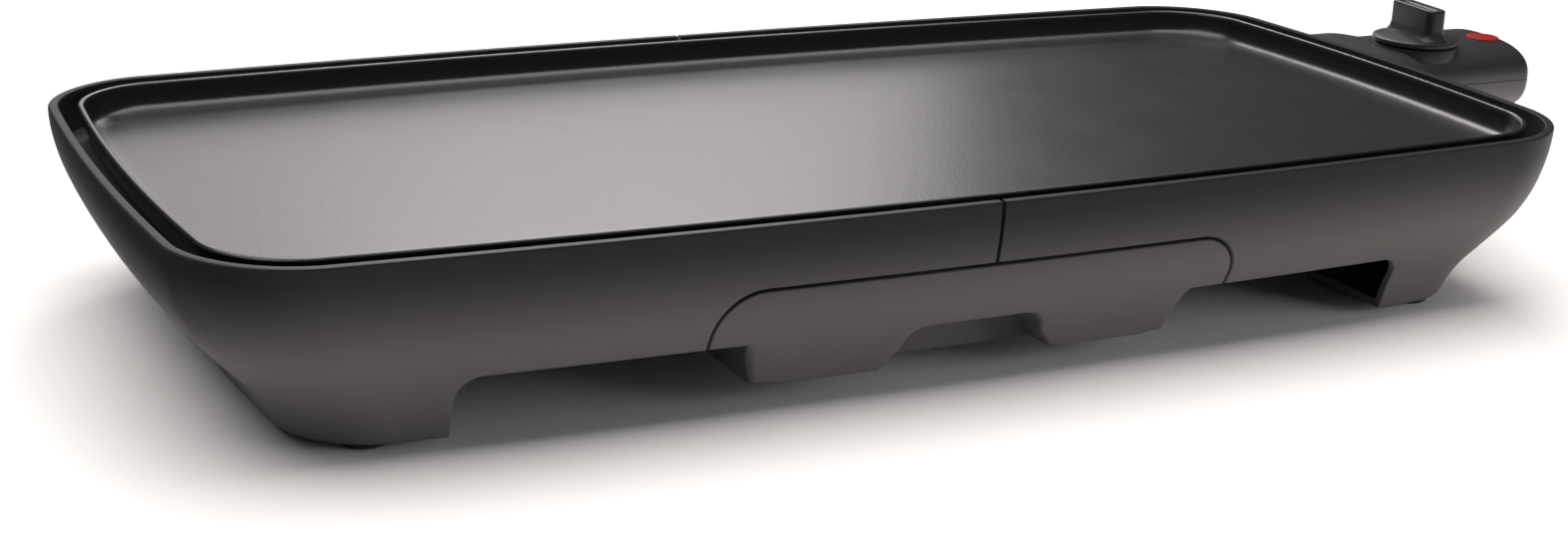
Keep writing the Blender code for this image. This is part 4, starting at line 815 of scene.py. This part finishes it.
def drip_tray():
    tray = tray_panel_block()
    back = TRAY_DEPTH - HALF_WIDTH
    shape_with(tray, "INTERSECT", wall_block("outside", 0.0, 1.0, BASE_HEIGHT - 2.0, 44))
    shape_with(tray, "DIFFERENCE", wall_block("inside", BASE_WALL, -5.0, BASE_HEIGHT, 36))
    bin_outline = [(BIN_HALF, BIN_TOP), (-BIN_HALF, BIN_TOP), (-BIN_HALF, TRAY_STEP_Z), *FOOT_CORNER,
                   *mirrored(FOOT_CORNER), (BIN_HALF, TRAY_STEP_Z)]
    bin_rows = [[(u, y, v) for u, v in bin_outline] for y in (-HALF_WIDTH, back)]
    bin_block = shape_with(skin("bin", bin_rows), "INTERSECT",
                           wall_block("bin_trim", BASE_WALL - 0.6, 1.0, BASE_HEIGHT - 2.0, 36))
    flange = slab("flange", (-BIN_HALF - FLANGE, -HALF_WIDTH + FLANGE_SETBACK, BIN_TOP - FLANGE_THICK),
                  (BIN_HALF + FLANGE, back - 8.0, BIN_TOP))
    shape_with(tray, "UNION", bin_block, flange)
    grip_side = [(GRIP_HALF + GRIP_FLARE, BELOW), (GRIP_HALF + GRIP_FLARE, TRAY_BOTTOM)]
    grip_side += arc((GRIP_HALF - GRIP_CORNER, GRIP_TOP - GRIP_CORNER), GRIP_CORNER, 0, 90, 8)
    grip_outline = with_points(grip_side + mirrored(grip_side), 3.0)
    grip_back = -HALF_WIDTH + SIDE_SLOPE * WALL_LEANS[1][0] + GRIP_DEPTH
    shape_with(tray, "DIFFERENCE", wall_opening("grip", grip_outline, -1, GRIP_EASE, grip_back))
    half = TRAY_FOOT_HALF - BIN_SIDE_WALL
    hollow = shape_with(slab("hollow", (-half, -HALF_WIDTH, TRAY_BOTTOM + BIN_WALL),
                             (half, back - BIN_WALL, BASE_HEIGHT)),
                        "INTERSECT", wall_block("hollow_trim", BASE_WALL, -5.0, BASE_HEIGHT + 2.0, 36))
    grip_wall = GRIP_HALF + GRIP_FLARE + BIN_WALL
    shape_with(hollow, "DIFFERENCE", slab("grip_shell", (-grip_wall, -HALF_WIDTH - 5.0, 0.0),
                                          (grip_wall, grip_back + BIN_WALL, GRIP_TOP + BIN_WALL)))
    return shape_with(tray, "DIFFERENCE", hollow)


# The tray takes the housing's finish, so its panel is painted lighter towards the bottom with the same
# painted floor light.
tray_piece = to_frame(drip_tray(), housing_finish, "tray")
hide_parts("drip_tray")


# ---------------------------------------------------------------- control unit
# A black two-part moulding that plugs into the right end of the base and holds the thermostat. The
# halves meet at a level seam and are screwed from below; the knob turns in a round boss on top.

CONTROL_GAP = 1.8
SHOULDER_LENGTH = 36.0
SHOULDER_START = HALF_LENGTH + CONTROL_GAP
SHOULDER_END = SHOULDER_START + SHOULDER_LENGTH
CONTROL_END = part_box("control_cover")[1].x / MM - MIDDLE_X / MM
CONTROL_Z = 51.0
SHOULDER_HALF = 47.0
SHOULDER_SHIFT = 1.0
SHOULDER_ROUND = 3.0
FRONT_EASE = 1.6
BODY_HALF = 32.0
BODY_UP = 15.6
BODY_DOWN = 18.0
BODY_ROUND = 5.0
BODY_POWER = 2.7
CONTROL_WALL = 2.4
KNOB_SPOT = (338.0, 45.5)
KNOB_RADIUS = 20.0
LENS_SPOT = (380.0, 47.0)
LENS_RADIUS = 7.7
LENS_PLAY = 0.3
BOSS_SETBACK = 0.5
BOSS_BOTTOM = 55.3
BOSS_TOP = 67.3
SPINDLE_HOLE_RADIUS = 7.0
SOCKET_HALF = 24.3
SOCKET_HALF_HEIGHT = 5.4
GLAND_HOLE_RADIUS = 5.8
POST_RADIUS = 3.4
LOWER_POST_RADIUS = 5.2
THREAD_RADIUS = 1.9
HEAD_HOLE_RADIUS = 3.3
SCREW_SPOTS = ((304.0, 24.0), (304.0, 86.0), (374.0, 33.0), (374.0, 75.0))

# Its colour is painted lighter below 40 mm, painted floor bounce light on the control unit's lower half; the
# knob, higher up, keeps the plain black.
black_finish = plastic_finish("black_plastic", (0.012, 0.0115, 0.011), (0.085, 0.082, 0.080),
                              0.40, 0.06, 0.3, (0.040, 0.062), 0.38)


def body_row(x, half_width, up, down, centre_y, steps=72):
    points = []
    power = 2 / BODY_POWER
    for i in range(steps):
        turn = 2 * math.pi * i / steps
        across = math.copysign(abs(math.cos(turn)) ** power, math.cos(turn))
        height = math.copysign(abs(math.sin(turn)) ** power, math.sin(turn))
        points.append((x, centre_y + half_width * across, CONTROL_Z + (up if height > 0 else down) * height))
    return points


def control_block(name, inset):
    rows = []

    def add(x, half_width, shrink, centre_y):
        rows.append(body_row(x, half_width - inset - shrink, BODY_UP - inset - shrink,
                             BODY_DOWN - inset - shrink, centre_y))

    for i in range(5):
        turn = math.pi / 2 * i / 4
        add(SHOULDER_START + inset + FRONT_EASE * (1 - math.cos(turn)), SHOULDER_HALF,
            FRONT_EASE * (1 - math.sin(turn)), CONTROL_Y + SHOULDER_SHIFT)
    for i in range(5):
        turn = math.pi / 2 * i / 4
        narrowing = (SHOULDER_HALF - BODY_HALF) * (1 - math.cos(turn))
        add(SHOULDER_END - SHOULDER_ROUND - 2 * inset + SHOULDER_ROUND * math.sin(turn),
            SHOULDER_HALF - narrowing, 0.0, CONTROL_Y + SHOULDER_SHIFT * math.cos(turn))
    add(SHOULDER_END + 20.0, BODY_HALF, 0.0, CONTROL_Y)
    round_in = max(BODY_ROUND - inset, 2.0)
    for i in range(9):
        turn = math.pi / 2 * i / 8
        add(CONTROL_END - inset - round_in + round_in * math.sin(turn), BODY_HALF,
            round_in * (1 - math.cos(turn)), CONTROL_Y)
    return skin(name, rows)


def half_of_split(name, side):
    edge = CONTROL_Z + side * 0.15
    low, high = sorted((edge, CONTROL_Z - side * 60.0))
    return slab(name, (SHOULDER_START - 60.0, -HALF_WIDTH, low), (CONTROL_END + 60.0, HALF_WIDTH, high))


def block_window(name):
    return slab(name, (SHOULDER_START - 10.0, CONTROL_Y - SOCKET_HALF, CONNECTOR_Z - SOCKET_HALF_HEIGHT),
                (SHOULDER_START + CONTROL_WALL + 1.0, CONTROL_Y + SOCKET_HALF,
                 CONNECTOR_Z + SOCKET_HALF_HEIGHT))


def gland_hole(name):
    return rod_shape(name, "X", GLAND_HOLE_RADIUS, CONTROL_END - CONTROL_WALL - 4.0, CONTROL_END + 5.0,
                     CONTROL_Y, CONTROL_Z)


def control_cover():
    cover = control_block("control_top", 0.0)
    boss_radius = KNOB_RADIUS - BOSS_SETBACK
    boss = turned("boss", [(0, BOSS_BOTTOM), (boss_radius, BOSS_BOTTOM), (boss_radius, BOSS_TOP - 0.8),
                           (boss_radius - 0.25, BOSS_TOP - 0.25), (boss_radius - 0.8, BOSS_TOP),
                           (0, BOSS_TOP)], KNOB_SPOT)
    shape_with(cover, "UNION", boss)
    shape_with(cover, "DIFFERENCE", control_block("room", CONTROL_WALL))
    posts = [rod_shape("post", "Z", POST_RADIUS, CONTROL_Z - 3.0, CONTROL_Z + 12.0, x, y)
             for x, y in SCREW_SPOTS]
    shape_with(cover, "UNION", *posts)
    threads = [rod_shape("thread", "Z", THREAD_RADIUS, CONTROL_Z - 4.0, CONTROL_Z + 8.5, x, y)
               for x, y in SCREW_SPOTS]
    shape_with(cover, "DIFFERENCE", half_of_split("below", 1),
               rod_shape("spindle_hole", "Z", SPINDLE_HOLE_RADIUS, CONTROL_Z, 90.0, *KNOB_SPOT),
               rod_shape("lens_hole", "Z", LENS_RADIUS + LENS_PLAY, CONTROL_Z, 90.0, *LENS_SPOT, 48),
               block_window("window"), gland_hole("gland"), *threads)
    return cover


def control_bottom():
    lower = control_block("control_bottom", 0.0)
    shape_with(lower, "DIFFERENCE", control_block("room", CONTROL_WALL))
    posts = [rod_shape("post", "Z", LOWER_POST_RADIUS, CONTROL_Z - BODY_DOWN, CONTROL_Z + 3.0, x, y)
             for x, y in SCREW_SPOTS]
    shape_with(lower, "UNION", *posts)
    shape_with(lower, "INTERSECT", control_block("outside", 0.0))
    holes = []
    for x, y in SCREW_SPOTS:
        holes.append(rod_shape("hole", "Z", THREAD_RADIUS, 0.0, CONTROL_Z + 4.0, x, y))
        holes.append(rod_shape("head_hole", "Z", HEAD_HOLE_RADIUS, 0.0, CONTROL_Z - 5.0, x, y))
    return shape_with(lower, "DIFFERENCE", half_of_split("above", -1), block_window("window"),
                      gland_hole("gland"), *holes)


for builder, node in ((control_cover, "control_cover"), (control_bottom, "control_base")):
    part = to_frame(builder(), black_finish, "control", 28.0)
    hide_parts(node)


# ---------------------------------------------------------------- indicator lens
# Round red window over the neon lamp, which lights while the plate heats up. Clear tinted plastic
# with a shallow domed top, pressed into its hole from outside.

LENS_BOTTOM = 63.2
LENS_TOP = 67.3

lens_finish, lens_tree, lens_shader = new_finish("red_lens", 0.5, Specular_IOR_Level=0.1,
                                                 Emission_Strength=0.03)
lens_ripple = noise_height(lens_tree, 260.0, 1.0)
lens_tree.links.new(mixed_colour(lens_tree, lens_ripple, (0.17, 0.010, 0.010), (0.21, 0.013, 0.012)),
                    lens_shader.inputs["Base Color"])
lens_shader.inputs["Emission Color"].default_value = (0.9, 0.03, 0.03, 1.0)
bump_from(lens_tree, lens_shader, lens_ripple, 0.1, 0.0001)

lens_profile = [(0, LENS_BOTTOM), (LENS_RADIUS - 1.5, LENS_BOTTOM), (LENS_RADIUS, LENS_BOTTOM + 1.0),
                (LENS_RADIUS, 66.7), (LENS_RADIUS - 0.1, 66.9), (LENS_RADIUS - 0.4, 67.05),
                (LENS_RADIUS - 3.0, 67.2), (0, LENS_TOP)]
lens_piece = to_frame(turned("lens", lens_profile, LENS_SPOT), lens_finish, "control", 40.0)
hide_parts("indicator_lens")


# ---------------------------------------------------------------- knob
# Black thermostat knob: a shallow domed disc with an upright grip bar across it, moulded in one
# piece and pushed onto the steel spindle. The bar's top is slightly dished for the finger.

KNOB_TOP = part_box("control_knob")[1].z / MM
BAR_TURN = math.radians(-4.0)
BAR_LENGTH = 32.0
BAR_WIDTH = 10.0
BAR_CORNER = 4.0
HUB_RADIUS = 6.0
HUB_BOTTOM = 65.5
HUB_BORE_RADIUS = 3.3
DISC_FOOT = 68.0
DISC_EDGE = 70.5
DISC_DOME = 72.5


def bar_row(grow, height):
    half_width = BAR_WIDTH / 2 + grow
    half_length = BAR_LENGTH / 2 + grow
    corner = min(half_width, BAR_CORNER + grow) - 0.01
    flat_x = half_width - corner
    flat_y = half_length - corner
    points = []
    for u, v, start in ((flat_x, flat_y, 0), (-flat_x, flat_y, 90), (-flat_x, -flat_y, 180),
                        (flat_x, -flat_y, 270)):
        points += arc((u, v), corner, start, start + 90, 8)
    turn = Matrix.Rotation(BAR_TURN, 2)
    turned_points = [turn @ Vector(point) for point in points]
    return [(KNOB_SPOT[0] + p.x, KNOB_SPOT[1] + p.y, height) for p in turned_points]


def knob():
    disc = turned("knob", [
        (0, DISC_FOOT), (KNOB_RADIUS - 0.4, DISC_FOOT), (KNOB_RADIUS, DISC_FOOT + 0.4),
        (KNOB_RADIUS, DISC_EDGE - 0.9), (KNOB_RADIUS - 0.25, DISC_EDGE - 0.3),
        (KNOB_RADIUS - 0.9, DISC_EDGE), (KNOB_RADIUS - 3, DISC_EDGE + 0.35),
        (KNOB_RADIUS - 6, DISC_EDGE + 0.85), (KNOB_RADIUS - 9, DISC_EDGE + 1.35),
        (KNOB_RADIUS - 13, DISC_DOME - 0.2), (0, DISC_DOME)], KNOB_SPOT, 96)
    rows = [bar_row(grow, height) for grow, height in (
        (2.2, 70.9), (1.3, 72.0), (0.7, 73.0), (0.3, 74.2), (0.05, 76.0), (0.0, KNOB_TOP - 1.2),
        (-0.1, KNOB_TOP - 0.7), (-0.35, KNOB_TOP - 0.3), (-0.8, KNOB_TOP - 0.05), (-1.3, KNOB_TOP),
        (-1.9, KNOB_TOP - 0.1), (-2.4, KNOB_TOP - 0.8), (-2.9, KNOB_TOP - 1.2))]
    hub = rod_shape("hub", "Z", HUB_RADIUS, HUB_BOTTOM, 69.0, *KNOB_SPOT)
    shape_with(disc, "UNION", skin("grip", rows), hub)
    return shape_with(disc, "DIFFERENCE", rod_shape("bore", "Z", HUB_BORE_RADIUS, 60.0, 71.0, *KNOB_SPOT))


knob_piece = to_frame(knob(), black_finish, "knob", 40.0)
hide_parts("control_knob")


# ---------------------------------------------------------------- metal, ceramic and glass fittings
# The working parts out of sight: element, clamps, guard, pins, probe and thermostat keep their
# shapes, and get the finishes of bare, plated, heated and fired parts.

# Fine rolled or drawn marks along metal, with slow changes of shine.
drawn_metal = texture_group("drawn_metal", (700.0, 4.0), (60.0, 3.0), "broad")

steel_finish = textured_finish("steel", drawn_metal, (0.50, 0.49, 0.47), (0.68, 0.67, 0.65),
                               0.3, 0.25, 0.2, Metallic=1.0)
sheath_finish = textured_finish("element_sheath", drawn_metal, (0.11, 0.10, 0.10), (0.26, 0.23, 0.20),
                                0.5, 0.3, 0.3, Metallic=1.0)
brass_finish = textured_finish("brass", drawn_metal, (0.70, 0.52, 0.24), (0.82, 0.66, 0.34),
                               0.28, 0.2, 0.15, Metallic=1.0)
ceramic_finish = textured_finish("ceramic", moulded_grain, (0.74, 0.70, 0.62), (0.84, 0.81, 0.74),
                                 0.55, 0.15, 0.3)
lamp_finish = textured_finish("lamp_glass", moulded_grain, (0.80, 0.62, 0.46), (0.86, 0.74, 0.60),
                              0.1, 0.05, 0.05, Transmission_Weight=0.6)

NODE_FINISHES = {
    "steel": steel_finish, "element_sheath": sheath_finish, "brass": brass_finish,
    "ceramic": ceramic_finish, "lamp_glass": lamp_finish, "rubber": rubber_finish,
    "black_plastic": black_finish, "housing": housing_finish, "coated_plate": coating_finish,
    "red_lens": lens_finish,
}
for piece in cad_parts.values():
    for holder in piece.material_slots:
        holder.material = NODE_FINISHES[holder.material.name.split(".")[0]]
